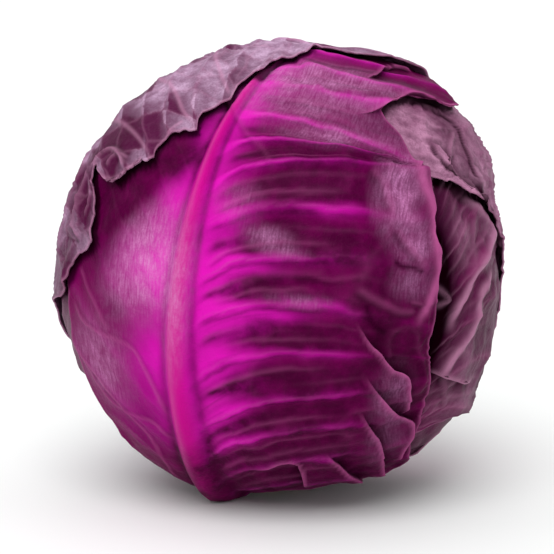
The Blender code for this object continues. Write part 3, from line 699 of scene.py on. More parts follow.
def smooth_chain(points, step=1.5):
    """Points close together along a smooth line through the given ones."""
    points = np.array(points, float)
    number = np.arange(len(points))
    count = int(np.hypot(*np.diff(points, axis=0).T).sum() / step) + 2
    at = np.linspace(0, len(points) - 1, count)
    return np.stack([curve(np.stack([number, points[:, k]], 1), at) for k in (0, 1)], 1)


def distance_along(points, x, y):
    """Signed distance to a chain of points (left of its run is positive), the share run along it, and
    the direction square to it, towards its left."""
    points = smooth_chain(points)
    lengths = np.hypot(*np.diff(points, axis=0).T)
    run = np.concatenate([[0], np.cumsum(lengths)])
    nearest = np.full(np.shape(x), 1e9)
    signed, share, left_x, left_y = (np.zeros(np.shape(x)) for _ in range(4))
    for i, length in enumerate(lengths):
        start, along = points[i], (points[i + 1] - points[i]) / length
        t = np.clip((x - start[0]) * along[0] + (y - start[1]) * along[1], 0, length)
        dx, dy = x - start[0] - t * along[0], y - start[1] - t * along[1]
        distance = np.hypot(dx, dy)
        closer = distance < nearest
        side = np.where(along[0] * dy - along[1] * dx >= 0, 1, -1)
        nearest = np.where(closer, distance, nearest)
        signed = np.where(closer, side * distance, signed)
        share = np.where(closer, (run[i] + t) / run[-1], share)
        left_x = np.where(closer, -along[1], left_x)
        left_y = np.where(closer, along[0], left_y)
    return signed, share, left_x, left_y


def rib_width(leaf, b):
    """Half width of the midrib: broad at the stem, fine at the tip."""
    first, last = leaf["rib"][0][0], leaf["rib"][-1][0]
    return 1.4 + 4.7 * (1 - (b - first) / (last - first)) ** 1.7


def margin(leaf, side, b):
    """How far the blade reaches out on one side: the cap leaf's scallops keep their corners."""
    if leaf["name"] == "cap_leaf" and side == "right":
        table = np.array(leaf[side], float)
        return np.interp(b, table[:, 0], table[:, 1])
    return curve(leaf[side], b)


def leaf_grid(leaf):
    """Midrib distances a, vein lines b and distances to the margin of the sheet's points."""
    rows, left_columns, right_columns = leaf["mesh"]
    even = np.linspace(leaf["rib"][0][0], leaf["rib"][-1][0], 400)
    low, high = leaf["close_rows"]
    density = np.where((even >= low) & (even <= high), 1.0, 0.35)
    run = np.cumsum(density)
    b = np.interp(np.linspace(run[0], run[-1], rows), run, even)
    wander = 0.5 * rough(MARGIN_SEEDS[0], b / 3.1) + 0.5 * rough(MARGIN_SEEDS[1], b / 7.7)
    reach = []
    shares = []
    for side, columns in (("left", left_columns), ("right", right_columns)):
        even = np.linspace(0, 1, columns + 1)
        shares.append(even - 0.09 * np.sin(2 * math.pi * even))
        reach.append(np.maximum(margin(leaf, side, b) + wander, 1.5))
    left = -reach[0][:, None] * shares[0][::-1][None, :-1]
    right = reach[1][:, None] * shares[1][None, :]
    a = np.concatenate([left, right], axis=1)
    inside = np.concatenate([reach[0][:, None] + left, reach[1][:, None] - right], axis=1)
    from_ends = np.minimum(b - b[0], b[-1] - b)[:, None]
    return a, np.repeat(b[:, None], a.shape[1], axis=1), np.minimum(inside, from_ends)


def vein_phase(leaf, b):
    """Which pair of side veins b lies between, and the share of the way from the lower to the upper."""
    starts = np.array([leaf["rib"][0][0]] + list(leaf["veins"]) + [leaf["rib"][-1][0]], float)
    i = np.clip(np.searchsorted(starts, b) - 1, 0, len(starts) - 2)
    return i, np.clip((b - starts[i]) / (starts[i + 1] - starts[i]), 0, 1)


def fade(share, start, end):
    """A fold or crease grows from nothing along its start and dies out at its end."""
    return ease(share / start) * ease((1 - share) / end)


def pinch(leaf, x, y):
    """Draw the sheet's points together at each fold, so that its lip comes out crisp."""
    for points, _, _ in leaf["folds"]:
        signed, share, left_x, left_y = distance_along(points, x, y)
        pull = signed * PINCH_SHARE * np.exp(-(signed / PINCH_WIDTH) ** 2) * fade(share, 0.1, 0.05)
        x, y = x - left_x * pull, y - left_y * pull
    return x, y


def covered(leaf, rays):
    """How well each point is hidden by the leaves laid later (0 in the open, 1 well under one of them),
    and how near it lies to the foot of such a leaf's margin (1 right below it)."""
    most, contact = np.zeros(len(rays)), np.zeros(len(rays))
    for other in LEAVES[LEAVES.index(leaf) + 1:]:
        across, up, out = leaf_axes(other["centre"])
        angle = np.arccos(np.clip(rays @ out, -1, 1))
        turn = np.arctan2(rays @ up, rays @ across)
        x, y = HEAD_RADIUS * angle * np.cos(turn), HEAD_RADIUS * angle * np.sin(turn)
        first, last = other["rib"][0][0], other["rib"][-1][0]
        a, b = blade_place(other, x, y, y)
        reach = np.where(a >= 0, margin(other, "right", b), margin(other, "left", b))
        inside = np.minimum(reach - np.abs(a), np.minimum(b - first, last - b))
        most = np.maximum(most, ease((inside - COVERED_FROM) / COVERED_OVER))
        outside = np.minimum(inside + CONTACT_SHIFT, 0)
        contact = np.maximum(contact, np.exp(-(outside / CONTACT_WIDTH) ** 2))
    return most, contact


def swell(name, at):
    """One of the random fields over the head, from -1 to 1."""
    seed, size = SWELLS[name]
    return rough(seed, *(at.places / size).T)


def kind_of_blade(leaf):
    """The front leaf is young and smooth; all others are old and dry."""
    return YOUNG_BLADE if leaf["name"] == "front_leaf" else OLD_BLADE


def midrib_height(leaf, at):
    """Height of the midrib, which tapers to the tip and has a shallow groove along each of its feet."""
    first, last = leaf["rib"][0][0], leaf["rib"][-1][0]
    taper = 0.25 + 0.75 * (1 - (at.b - first) / (last - first))
    at.groove = np.exp(-((at.reach - 1.6 * at.half) / (0.5 * at.half)) ** 2)
    body = np.exp(-(at.reach / (1.1 * at.half)) ** 2.6)
    return leaf["rib_height"] * taper * (body - 0.12 * at.groove)


def side_vein_height(leaf, at):
    """Height of the side veins, each steeper on the stalk's side of its line than on the tip's."""
    strength = (1 - np.exp(-(at.reach / VEIN_START) ** 2)) * np.exp(-(at.reach / VEIN_END) ** 4)
    strength = strength * np.where(at.a >= 0, 1.0, kind_of_blade(leaf)["left_relief"])
    crest = np.zeros(np.shape(at.a))
    for start in leaf["veins"]:
        past = at.wobble - start
        width = np.where(past >= 0, VEIN_ABOVE, VEIN_BELOW)
        crest = np.maximum(crest, np.exp(-(past / width) ** 2))
    return leaf["vein_height"] * strength * (crest - 0.3)


def add_folds(leaf, at, height):
    """Folds: one side stands above the other and leans over it. Gives the height and the lean sideways, a
    painted highlight on the lip and painted shadow under it.
    """
    size = sizes()
    overhang = size.overhang / MM
    lean_x, lean_y, at.lip, at.under = (np.zeros(np.shape(at.a)) for _ in range(4))
    for points, side, lift in leaf["folds"]:
        signed, share, left_x, left_y = distance_along(points, at.x, at.y)
        signed = signed * side
        grown = fade(share, 0.3, 0.08) * size.fold
        over = 0.5 * (1 + np.tanh(signed / FOLD_STEP))
        high = np.exp(-np.maximum(signed, 0) / FOLD_HIGH)
        low = -0.6 * np.exp(np.minimum(signed, 0) / FOLD_LOW)
        height = height + 0.5 * lift * grown * (high * over + low * (1 - over))
        t = signed / overhang
        lean = -2.33 * overhang * t * np.exp(-t * t) * grown * side
        lean_x, lean_y = lean_x + left_x * lean, lean_y + left_y * lean
        # Painted highlight along the lip
        at.lip = np.maximum(at.lip, grown * np.exp(-((signed - 0.9) / 0.7) ** 2))
        # Painted shadow on the low side, under the lip
        dark = np.where(signed < 0.3, np.exp(np.minimum(signed, 0) / 4.5), 0)
        at.under = np.maximum(at.under, grown * dark)
    return height, lean_x, lean_y


def add_creases(leaf, at, height):
    """Ridges with crests painted pale as a highlight, and fine creases with a step up to their left, a
    painted highlight on their crests and painted shadow in a slit to their right.
    """
    for points, ridge_width, lift in leaf["ridges"]:
        signed, share, _, _ = distance_along(points, at.x, at.y)
        grown = fade(share, 0.15, 0.15)
        height = height + lift * grown * np.exp(-(signed / ridge_width) ** 2)
        # A painted highlight on the ridge's crest
        if lift > 0:
            at.lip = np.maximum(at.lip, 1.1 * grown * np.exp(-(signed / RIDGE_CREST) ** 2))
    at.slit = np.zeros(np.shape(at.a))
    for points, half_width, lift, step, pale, dark in CREASES[leaf["name"]]:
        signed, share, _, _ = distance_along(points, at.x, at.y)
        grown = fade(share, 0.12, 0.12)
        line = grown * np.exp(-(signed / half_width) ** 2)
        height = height + lift * line
        rise = np.tanh(signed / half_width) * np.exp(-np.abs(signed) / 12)
        height = height + 0.5 * step * grown * rise
        at.lip = np.maximum(at.lip, pale * line)
        # Painted shadow in the slit to the crease's right
        beside = np.exp(-((signed + 1.1 * half_width) / half_width) ** 2)
        at.slit = np.maximum(at.slit, dark * grown * beside)
    return height


def add_crumples(leaf, at, height):
    """Small dents, panels between the veins, the crumpling and cracks of an old blade, and fine lines."""
    a, b, tint, blade = at.a, at.b, TINTS[leaf["name"]], kind_of_blade(leaf)
    at.net, at.mark = panels(PANEL_SEED, at.number + at.phase + 0.2 * swell("panel shift", at), a / 13)
    at.mesh, _ = panels(MESH_SEED, b / 5.2 + swell("mesh shift", at), a / 5.2)
    dents = swell("broad dents", at) + 0.5 * swell("dents", at) + 0.2 * swell("small dents", at)
    at.off_rib = ease((at.reach - at.half) / 8)
    height = height + sizes().crumple / MM * at.off_rib * dents
    height = height + tint["panels"] * at.off_rib * (0.35 * at.net + 0.5 * (at.mark - 0.5))

    drift_out, drift_along = 0.5 * swell("drift out", at), 0.5 * swell("drift along", at)
    at.crack, at.tilt = panels(CRACK_SEED, a / 17 + drift_out, b / 12 + drift_along)
    fine_crack, _ = panels(FINE_CRACK_SEED, a / 8 + 0.3 * b / 8 + drift_along, b / 6 + drift_out)
    at.sharp = (1 - np.abs(swell("creases", at))) ** 4 + 0.4 * (1 - np.abs(swell("small creases", at))) ** 4
    at.old = tint["crinkle"] * np.ones(np.shape(a))
    if leaf["name"] == "front_leaf":
        at.old = at.old * (1 + 2.2 * ease((a - 54) / 16) * ease((78 - b) / 18))
    if leaf["name"] == "cap_leaf":
        at.old = at.old * (0.1 + 1.6 * ease((a - 92) / 10))
    cracks = 0.45 * at.crack * (0.4 + at.tilt) + 0.12 * fine_crack
    height = height + at.old * at.off_rib * (1.4 * at.sharp - blade["cracked"] * cracks - 0.3)

    at.drift = drift_out
    at.striae = 0.6 * rough(STRIAE_SEEDS[0], b / 1.5 + 0.5 * drift_out, a / 16)
    at.striae = at.striae + 0.5 * rough(STRIAE_SEEDS[1], b / 3.4, a / 24)
    return height + blade["striae"] * at.off_rib * at.striae


def add_fine_veins(leaf, at, height):
    """Finer veins between the side veins, and the painted highlights on the crests and painted shadow at the
    feet of all of them.
    """
    at.sides = np.where(at.a >= 0, 1.0, kind_of_blade(leaf)["left_colour"])
    at.far = ease((at.reach - 5) / 7)
    at.blotch = 0.5 + 0.5 * swell("blotches", at)
    # Painted shadow at the foot of each vein, painted highlight on its crest
    at.foot = np.exp(-((at.phase - 0.90) / 0.045) ** 2) * at.far * np.exp(-(at.reach / 66) ** 4)
    at.thread = np.exp(-((at.phase - 0.02) / 0.035) ** 2) * at.far * np.exp(-(at.reach / 60) ** 4)
    at.thread = at.thread * (0.3 + 0.7 * at.blotch)
    for seed, level in FINE_VEINS:
        chance = ease(1.2 * rough(seed, at.wobble / 19, at.a / 34) + 0.55)
        window = chance * ease((at.reach - 7) / 8) * np.exp(-(at.reach / 62) ** 4) * at.sides
        line = np.exp(-((at.phase - level - 0.05 * at.drift) / 0.05) ** 2)
        height = height + 0.45 * window * line
        at.thread = np.maximum(at.thread, 0.8 * window * line)
        at.foot = np.maximum(at.foot, window * np.exp(-((at.phase - level + 0.10) / 0.05) ** 2))
    return height


def leaf_masks(leaf, at):
    """Colour masks that every leaf has, from its veins, folds, creases and crumples. Most paint light and
    shade: glow is vivid colour and a painted highlight on vein crests, shade is painted shade in hollows, at
    the veins' feet, along fine lines and towards the ground, the near-black mask is painted shadow in slits,
    under folds and in cracks, and lip is a painted highlight on crests and fold lips.
    """
    tint, cracked = TINTS[leaf["name"]], kind_of_blade(leaf)["cracked"]
    crests = np.maximum(np.exp(-(at.phase / 0.11) ** 2), np.exp(-((1 - at.phase) / 0.12) ** 2))
    middle = 0.56 - 0.10 * ease(at.reach / 30)
    spread = 0.10 + 0.22 * ease((at.reach - 4) / 32)
    at.hollows = np.exp(-np.abs((at.phase - middle) / spread) ** 2.6)
    inner = 1 - 0.8 * ease((at.reach - 56) / 18)
    # Painted shade: darker towards the ground
    low = ease((34 - (at.places[:, 2] + HEAD_CENTRE[2])) / 34)
    between = at.hollows * (0.40 + 0.6 * at.blotch) + 0.5 * at.foot
    cracks = np.clip(at.old, 0, 1.2) * at.off_rib * at.crack * at.tilt
    return {
        "glow": tint["glow"] * crests * inner * at.sides * (0.45 + 0.6 * at.blotch + 0.5 * at.striae),
        "shade": (tint["shade"] * at.far * at.sides * between * (1 - 0.5 * at.striae)
                  + 0.38 * at.far * at.sides * ease(at.striae) + 0.5 * low),
        "bloom": tint["bloom"] * (0.6 + 0.5 * at.mark * tint["panels"] + 0.5 * swell("wax", at)),
        "painted_shadow": 0.9 * at.under + at.slit + 0.22 * cracked * cracks,
        "net": tint["panels"] * np.maximum(0.8 * at.net, 0.12 * at.mesh) * at.off_rib,
        "lip": (np.maximum(at.lip, 0.35 * at.sides * at.thread)
                + 0.16 * np.clip(at.old, 0, 1.5) * ease(at.sharp - 0.5)),
        "rib": np.exp(-(at.reach / (1.05 * at.half)) ** 4),
    }


def front_masks(at, masks):
    """The front leaf is vivid beside its midrib, with a painted highlight along the midrib's crown and
    painted shade in its grooves, and is duller and darker along its far right margin, where shade is painted.
    """
    beside = np.where(at.a >= 0, np.exp(-(at.reach / 13) ** 2), np.exp(-(at.reach / 12) ** 2))
    outer_part = ease((at.a - 58) / 22) * ease((70 - at.b) / 30)
    # Painted highlight along the crown of the midrib
    crown_line = np.exp(-((at.a + 0.30 * at.half) / (0.32 * at.half)) ** 2) * ease((at.b + 112) / 40)
    masks["glow"] = masks["glow"] + 0.75 * beside * ease((at.b + 100) / 30)
    masks["glow"] = masks["glow"] * (1 - 0.6 * outer_part)
    # Painted shade in the grooves at the midrib's feet
    masks["shade"] = masks["shade"] + 0.60 * at.groove * ease((at.b + 118) / 20)
    # Painted shade along the far right margin
    masks["shade"] = masks["shade"] + (0.30 + 0.45 * at.hollows + 0.35 * at.foot) * outer_part
    masks["lip"] = np.maximum(masks["lip"], 0.40 * crown_line)


def cap_masks(at, masks):
    """The cap leaf's wax differs from one panel to the next, and thickens from each vein to the next."""
    rising = 0.60 * (at.phase - 0.5) * (0.35 + 0.65 * ease((at.b + 70) / 40))
    masks["bloom"] = masks["bloom"] + rising + 0.50 * (at.mark - 0.5)


def shape_leaf(leaf, a, b, x, y, rays):
    """Height of the sheet above the plain blade, sideways lean of its folds, and its colour masks."""
    at = SimpleNamespace(a=a, b=b, x=x, y=y, places=rays * HEAD_RADIUS, reach=np.abs(a))
    at.half = rib_width(leaf, b)
    at.wobble = b + 1.3 * swell("vein wobble", at) + 0.5 * swell("vein quiver", at)
    at.number, at.phase = vein_phase(leaf, at.wobble)

    height = midrib_height(leaf, at) + side_vein_height(leaf, at)
    height, lean_x, lean_y = add_folds(leaf, at, height)
    for add in (add_creases, add_crumples, add_fine_veins):
        height = add(leaf, at, height)

    masks = leaf_masks(leaf, at)
    if leaf["name"] == "cap_leaf":
        cap_masks(at, masks)
    if leaf["name"] == "front_leaf":
        front_masks(at, masks)
    for mask, middle_x, middle_y, wide, tall, amount in PATCHES[leaf["name"]]:
        patch = np.exp(-((x - middle_x) / wide) ** 2 - ((y - middle_y) / tall) ** 2)
        masks[mask] = masks[mask] + amount * patch
    masks["bloom"] = (masks["bloom"] - 0.06) * (1 - 0.9 * np.clip(masks["painted_shadow"], 0, 1))
    return height, lean_x, lean_y, {name: np.clip(mask, 0, 1) for name, mask in masks.items()}


def blurred(table):
    """Each cell of the height table averaged with its neighbours."""
    for axis in (0, 1):
        table = (np.roll(table, 1, axis) + 2 * table + np.roll(table, -1, axis)) / 4
    return table


def highest(table):
    """Each cell takes the highest of its neighbours."""
    steps = itertools.product((-1, 0, 1), repeat=2)
    return np.max([np.roll(table, step, (0, 1)) for step in steps], axis=0)


def table_place(rays):
    """Fractional row and column of each ray in the height table."""
    latitude = np.degrees(np.arcsin(np.clip(rays[..., 2], -1, 1)))
    longitude = np.degrees(np.arctan2(rays[..., 0], -rays[..., 1]))
    return (latitude + 90) / TABLE_STEP, (longitude + 180) / TABLE_STEP


def denser(table):
    """A table of points with FINER steps from each one to the next, along both of its sides."""
    for axis in (0, 1):
        table = np.moveaxis(table, axis, 0)
        steps = np.linspace(0, len(table) - 1, (len(table) - 1) * FINER + 1)
        low = np.minimum(steps.astype(int), len(table) - 2)
        share = (steps - low)[:, None, None]
        table = np.moveaxis((1 - share) * table[low] + share * table[low + 1], 0, axis)
    return table


def taken_up(rays):
    """Radius already taken up under each ray, read smoothly from the table.

    Cells near a pole are narrow and some are missed, so each row there takes its highest cell."""
    table = highest(laid)
    for polar in (slice(0, POLAR_ROWS), slice(-POLAR_ROWS, None)):
        table[polar] = table[polar].max(axis=1, keepdims=True)
    for _ in range(TABLE_BLURS):
        table = blurred(table)
    row, column = (place - 0.5 for place in table_place(rays))
    row = np.clip(row, 0, TABLE_ROWS - 1.001)
    i, j = np.floor(row).astype(int), np.floor(column).astype(int)
    t, s = row - i, column - j
    near, far = j % TABLE_COLUMNS, (j + 1) % TABLE_COLUMNS
    return ((1 - t) * ((1 - s) * table[i, near] + s * table[i, far])
            + t * ((1 - s) * table[i + 1, near] + s * table[i + 1, far]))


def softly_above(value, least, softness):
    """The value where it clears the least one, easing onto the least one where it doesn't."""
    return value + softness * np.log1p(np.exp(np.clip((least - value) / softness, -30, 30)))


def lay_down(rays, radius):
    """Enter a finished face in the height table."""
    row, column = (np.floor(place).astype(int) for place in table_place(rays))
    np.maximum.at(laid, (np.clip(row, 0, TABLE_ROWS - 1), column % TABLE_COLUMNS), radius)


def name_active(name):
    """Name the primitive just added, and its mesh."""
    thing = bpy.context.active_object
    thing.name = name
    thing.data.name = name
    return thing


def finish_piece(thing, node, material):
    """Give a piece its material, hide the solid that it stands for, and attach it to the root body."""
    thing.data.materials.clear()
    thing.data.materials.append(material)
    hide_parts(node)
    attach(thing, "root")


def set_attribute(mesh, name, values):
    """Store one number for each point of a mesh."""
    attribute = mesh.attributes.new(name, "FLOAT", "POINT")
    attribute.data.foreach_set("value", np.asarray(values, np.float32))


def add_sheet(name, rows, columns):
    """A flat grid primitive, and the row and column of each of its vertices."""
    bpy.ops.object.select_all(action="DESELECT")
    bpy.ops.mesh.primitive_grid_add(x_subdivisions=columns - 1, y_subdivisions=rows - 1, size=2)
    thing = name_active(name)
    flat = np.zeros(len(thing.data.vertices) * 3)
    thing.data.vertices.foreach_get("co", flat)
    flat = flat.reshape(-1, 3)
    column = np.rint((flat[:, 0] + 1) / 2 * (columns - 1)).astype(int)
    row = np.rint((flat[:, 1] + 1) / 2 * (rows - 1)).astype(int)
    return thing, row, column


def build_leaf(leaf):
    """One leaf, laid on what is already there: a grid moved onto the head, then given its thickness."""
    size = sizes()
    blade, gap = size.blade / MM, size.gap / MM
    a, b, inside = leaf_grid(leaf)
    rows, columns = a.shape
    a, b, inside = a.ravel(), b.ravel(), inside.ravel()
    x, y = blade_point(leaf, a, b)
    x, y = pinch(leaf, x, y)
    a, b = blade_place(leaf, x, y, b)
    axes = leaf_axes(leaf["centre"])
    rays = on_head(axes, x, y)
    height, lean_x, lean_y, masks = shape_leaf(leaf, a, b, x, y, rays)
    curl = np.exp(-(inside / 3.0) ** 2)
    hidden, contact = covered(leaf, rays)
    height = (height + 0.35 * curl) * (1 - SMOOTHED_UNDER * hidden)
    # Painted contact shadow along the foot of each later leaf's margin
    masks["painted_shadow"] = np.clip(masks["painted_shadow"] + 0.8 * contact, 0, 1)
    masks["edge"] = np.exp(-(inside / 0.8) ** 2)
    rays = on_head(axes, x + lean_x, y + lean_y)
    plain = np.minimum(outline_radius(rays) - depth_under(leaf, rays), ground_limit(rays))
    lowest = taken_up(rays) + gap + blade
    radius = softly_above(plain, lowest + LIFT_START, LIFT_SOFTNESS) + height
    radius = softly_above(radius, lowest, LAST_SOFTNESS)
    radius = np.minimum(radius, np.maximum(ground_limit(rays), lowest))
    laid_points = denser((rays * radius[:, None]).reshape(rows, columns, 3)).reshape(-1, 3)
    laid_radius = np.linalg.norm(laid_points, axis=1)
    lay_down(laid_points / laid_radius[:, None], laid_radius)

    thing, row, column = add_sheet(leaf["name"] + "_blade", rows, columns)
    order = row * columns + column
    points = (rays * radius[:, None] + HEAD_CENTRE) * MM
    mesh = thing.data
    mesh.vertices.foreach_set("co", points[order].astype(np.float32).ravel())
    for name, mask in masks.items():
        set_attribute(mesh, name, mask[order])
    corner = np.zeros(len(mesh.loops), int)
    mesh.loops.foreach_get("vertex_index", corner)
    on_map = np.stack([a[order], b[order]], 1)[corner]
    mesh.uv_layers.active.data.foreach_set("uv", on_map.astype(np.float32).ravel())
    mesh.update()
    thicken = thing.modifiers.new("Blade thickness", "SOLIDIFY")
    thicken.thickness = size.blade
    thicken.offset = -1
    bpy.ops.object.modifier_apply(modifier=thicken.name)
    bpy.ops.object.shade_smooth()
    return thing


def add_node(tree, kind, settings=None, **inputs):
    """Add one node. Settings are its own properties; an input is a plain value, or an output to link.
    An input's name is its socket's, with _ for a space, or in_ and its number."""
    node = tree.nodes.new(kind)
    for key, value in (settings or {}).items():
        setattr(node, key, value)
    for key, value in inputs.items():
        socket = node.inputs[int(key[3:])] if key.startswith("in_") else node.inputs[key.replace("_", " ")]
        if isinstance(value, bpy.types.NodeSocket):
            tree.links.new(value, socket)
        else:
            socket.default_value = value
    return node


def new_material(name):
    """An empty material with its shader."""
    material = bpy.data.materials.new(name)
    material.use_nodes = True
    return material, material.node_tree, material.node_tree.nodes["Principled BSDF"]


def leaf_material(name, base, bright, wax, vein, rib, blade):
    """Living leaf under a wax bloom: a satin skin, coloured through, paler and duller where wax lies.

    Fine veins show as a paler net; wax is scattered in streaks square to the side veins."""
    material, tree, shader = new_material(name)
    tints = colours()

    # Patterns: streaks follow the leaf's own map, all others lie in the head's millimetres
    place = add_node(tree, "ShaderNodeTexCoord")
    in_mm = add_node(tree, "ShaderNodeVectorMath", {"operation": "SCALE"}, in_0=place.outputs["Object"],
                     Scale=1 / MM).outputs[0]
    across, along = blade["streak_size"]
    on_leaf = add_node(tree, "ShaderNodeMapping", in_0=place.outputs["UV"], Scale=(1 / across, 1 / along, 1))
    streaks = add_node(tree, "ShaderNodeTexNoise", Vector=on_leaf.outputs[0], Scale=1.0, Detail=3.0)
    clouds = add_node(tree, "ShaderNodeTexNoise", Vector=in_mm, Scale=1 / CLOUD_SIZE, Detail=5.0,
                      Roughness=0.6)
    grain = add_node(tree, "ShaderNodeTexNoise", Vector=in_mm, Scale=1 / GRAIN_SIZE, Detail=2.0)
    warped = add_node(tree, "ShaderNodeVectorMath", {"operation": "MULTIPLY_ADD"},
                      in_0=clouds.outputs["Color"], in_1=(NET_WARP,) * 3, in_2=in_mm)
    net = add_node(tree, "ShaderNodeTexVoronoi", {"feature": "DISTANCE_TO_EDGE"}, Vector=warped.outputs[0],
                   Scale=1 / NET_SIZE)

    # Shares from 0 to 1: the masks stored on the mesh, then each pattern brought into its range
    shares = {}
    for mask in ("glow", "rib", "shade", "bloom", "net", "painted_shadow", "lip", "edge"):
        shares[mask] = add_node(tree, "ShaderNodeAttribute", {"attribute_name": mask}).outputs["Fac"]
    for share, source, low, high, to_low, to_high in (
            ("cloud", clouds.outputs[0], 0.35, 0.65, 0.0, 0.30),
            ("cloudy shade", clouds.outputs[0], 0.3, 0.6, 0.6, 0.95),
            ("cloudy wax", clouds.outputs[0], 0.35, 0.60, 0.50, 1.15),
            ("streaky wax", streaks.outputs[0], 0.30, 0.65, blade["least_streak"], 1.0),
            ("grainy wax", grain.outputs[0], 0.35, 0.65, 0.70, 1.0),
            ("fine net", net.outputs["Distance"], 0.0, 0.12, 1.0, 0.0),
            # Gloss fades out under the painted shadow
            ("gloss", shares["painted_shadow"], 0.0, 0.8, blade["gloss"], 0.0),
    ):
        shares[share] = add_node(tree, "ShaderNodeMapRange", {"clamp": True}, Value=source, From_Min=low,
                                 From_Max=high, To_Min=to_low, To_Max=to_high).outputs[0]
    for share, first, second in (
            ("shade", "shade", "cloudy shade"),
            ("bloom", "bloom", "streaky wax"),
            ("bloom", "bloom", "grainy wax"),
            ("bloom", "bloom", "cloudy wax"),
            ("net relief", "fine net", 0.5),
            ("fine net", "fine net", 0.008),
            ("net", "net", 0.35),
            ("lip", "lip", 0.6),
            ("edge", "edge", 0.4),
    ):
        shares[share] = add_node(tree, "ShaderNodeMath", {"operation": "MULTIPLY", "use_clamp": True},
                                 in_0=shares[first], in_1=shares.get(second, second)).outputs[0]

    # Colours laid over each other, from the blade's own to the painted shadow in the darkest slits and the
    # palest margins; glow partly paints highlights on crests, shade paints shade and lip paints highlights
    colour = (*base, 1)
    for share, over in (
            ("cloud", tints.hollow), ("glow", bright), ("rib", rib), ("shade", tints.hollow),
            ("bloom", wax), ("fine net", vein), ("net", vein), ("painted_shadow", tints.painted_shadow), ("lip", vein),
            ("edge", vein),
    ):
        colour = add_node(tree, "ShaderNodeMix", {"data_type": "RGBA"}, in_0=shares[share], in_6=colour,
                          in_7=(*over, 1)).outputs[2]
    tree.links.new(colour, shader.inputs["Base Color"])

    shader.inputs["Metallic"].default_value = 0.0
    shader.inputs["IOR"].default_value = 1.42
    tree.links.new(shares["gloss"], shader.inputs["Specular IOR Level"])
    roughness = add_node(tree, "ShaderNodeMapRange", {"clamp": True}, Value=shares["bloom"], From_Min=0.0,
                         From_Max=1.0, To_Min=0.40, To_Max=0.62)
    tree.links.new(roughness.outputs[0], shader.inputs["Roughness"])
    relief = add_node(tree, "ShaderNodeMath", {"operation": "ADD"}, in_0=shares["net relief"],
                      in_1=grain.outputs[0])
    bump = add_node(tree, "ShaderNodeBump", Strength=0.5, Distance=0.00025, Height=relief.outputs[0])
    tree.links.new(bump.outputs[0], shader.inputs["Normal"])
    return material


def stalk_material():
    """Cut stalk: pale, dry and fibrous, browning where the knife left it open to the air."""
    material, tree, shader = new_material("cut_stalk")
    place = add_node(tree, "ShaderNodeTexCoord")
    rings = add_node(tree, "ShaderNodeTexWave", {"wave_type": "RINGS", "rings_direction": "Z"},
                     Vector=place.outputs["Object"], Scale=120.0, Distortion=3.0)
    colour = add_node(tree, "ShaderNodeMix", {"data_type": "RGBA"}, in_0=rings.outputs[0])
    colour.inputs[6].default_value = (*colours().stalk, 1)
    colour.inputs[7].default_value = (*linear("#8c7a5e"), 1)
    tree.links.new(colour.outputs[2], shader.inputs["Base Color"])
    shader.inputs["Roughness"].default_value = 0.8
    return material


def heart_material():
    """Packed inner leaves: deep purple, a little glossier than the outer ones."""
    material, _, shader = new_material("inner_leaves")
    shader.inputs["Base Color"].default_value = (*linear("#4a0c34"), 1)
    shader.inputs["Roughness"].default_value = 0.45
    return material


class CABBAGE_OT_add_stem(bpy.types.Operator):
    """Add the cut stalk"""

    bl_idname = "cabbage.add_stem"
    bl_label = "Add stalk"

    def execute(self, context):
        low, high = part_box("stem")
        bpy.ops.object.select_all(action="DESELECT")
        bpy.ops.mesh.primitive_cylinder_add(
            vertices=STALK_SIDES, radius=(high.x - low.x) / 2, depth=high.z - low.z, end_fill_type="NGON",
            location=(low + high) / 2)
        stalk = name_active("stalk")
        bpy.ops.object.transform_apply(location=True, rotation=True, scale=True)
        for vertex in stalk.data.vertices:
            turn = math.atan2(vertex.co.y, vertex.co.x)
            dent = STALK_LOBE_DEPTH * (1 + math.cos(STALK_LOBES * turn))
            reach = (high.x - low.x) / 2 * (1 - dent)
            vertex.co.x, vertex.co.y = reach * math.cos(turn), reach * math.sin(turn)
            if vertex.co.z > low.z + MM:
                lean = vertex.co.z / (HEAD_CENTRE[2] * MM)
                vertex.co.x += (HEAD_CENTRE[0] * MM - vertex.co.x) * lean
                vertex.co.y -= vertex.co.y * lean
        rim = stalk.modifiers.new("Trimmed rim", "BEVEL")
        rim.width = STALK_RIM * MM
        rim.segments = 3
        bpy.ops.object.modifier_apply(modifier=rim.name)
        finish_piece(stalk, "stem", stalk_material())
        return {"FINISHED"}


class CABBAGE_OT_add_heart(bpy.types.Operator):
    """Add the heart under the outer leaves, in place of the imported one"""

    bl_idname = "cabbage.add_heart"
    bl_label = "Add heart"

    def execute(self, context):
        bpy.ops.object.select_all(action="DESELECT")
        bpy.ops.mesh.primitive_uv_sphere_add(segments=120, ring_count=60, radius=1)
        heart = name_active("heart_core")
        rays = np.array([vertex.co.normalized()[:] for vertex in heart.data.vertices])
        away = np.degrees(np.arccos(np.clip(rays @ STEM_DIRECTION, -1, 1)))
        tuck = (HEART_DEPTH_AT_STEM - HEART_DEPTH) * np.exp(-(away / HEART_TUCK_WIDTH) ** 2)
        turn = np.degrees(np.arctan2(rays[:, 0], -rays[:, 1])) + HEART_SPIRAL * away
        margins = HEART_STEP * (0.5 - (turn / LEAF_TURN) % 1) * np.sin(np.radians(away)) ** 2
        radius = outline_radius(rays) - HEART_DEPTH - tuck + margins
        points = (rays * radius[:, None] + HEAD_CENTRE) * MM
        heart.data.vertices.foreach_set("co", points.astype(np.float32).ravel())
        heart.data.update()
        lay_down(rays, radius)
        bpy.ops.object.shade_smooth()
        finish_piece(heart, "heart", heart_material())
        return {"FINISHED"}


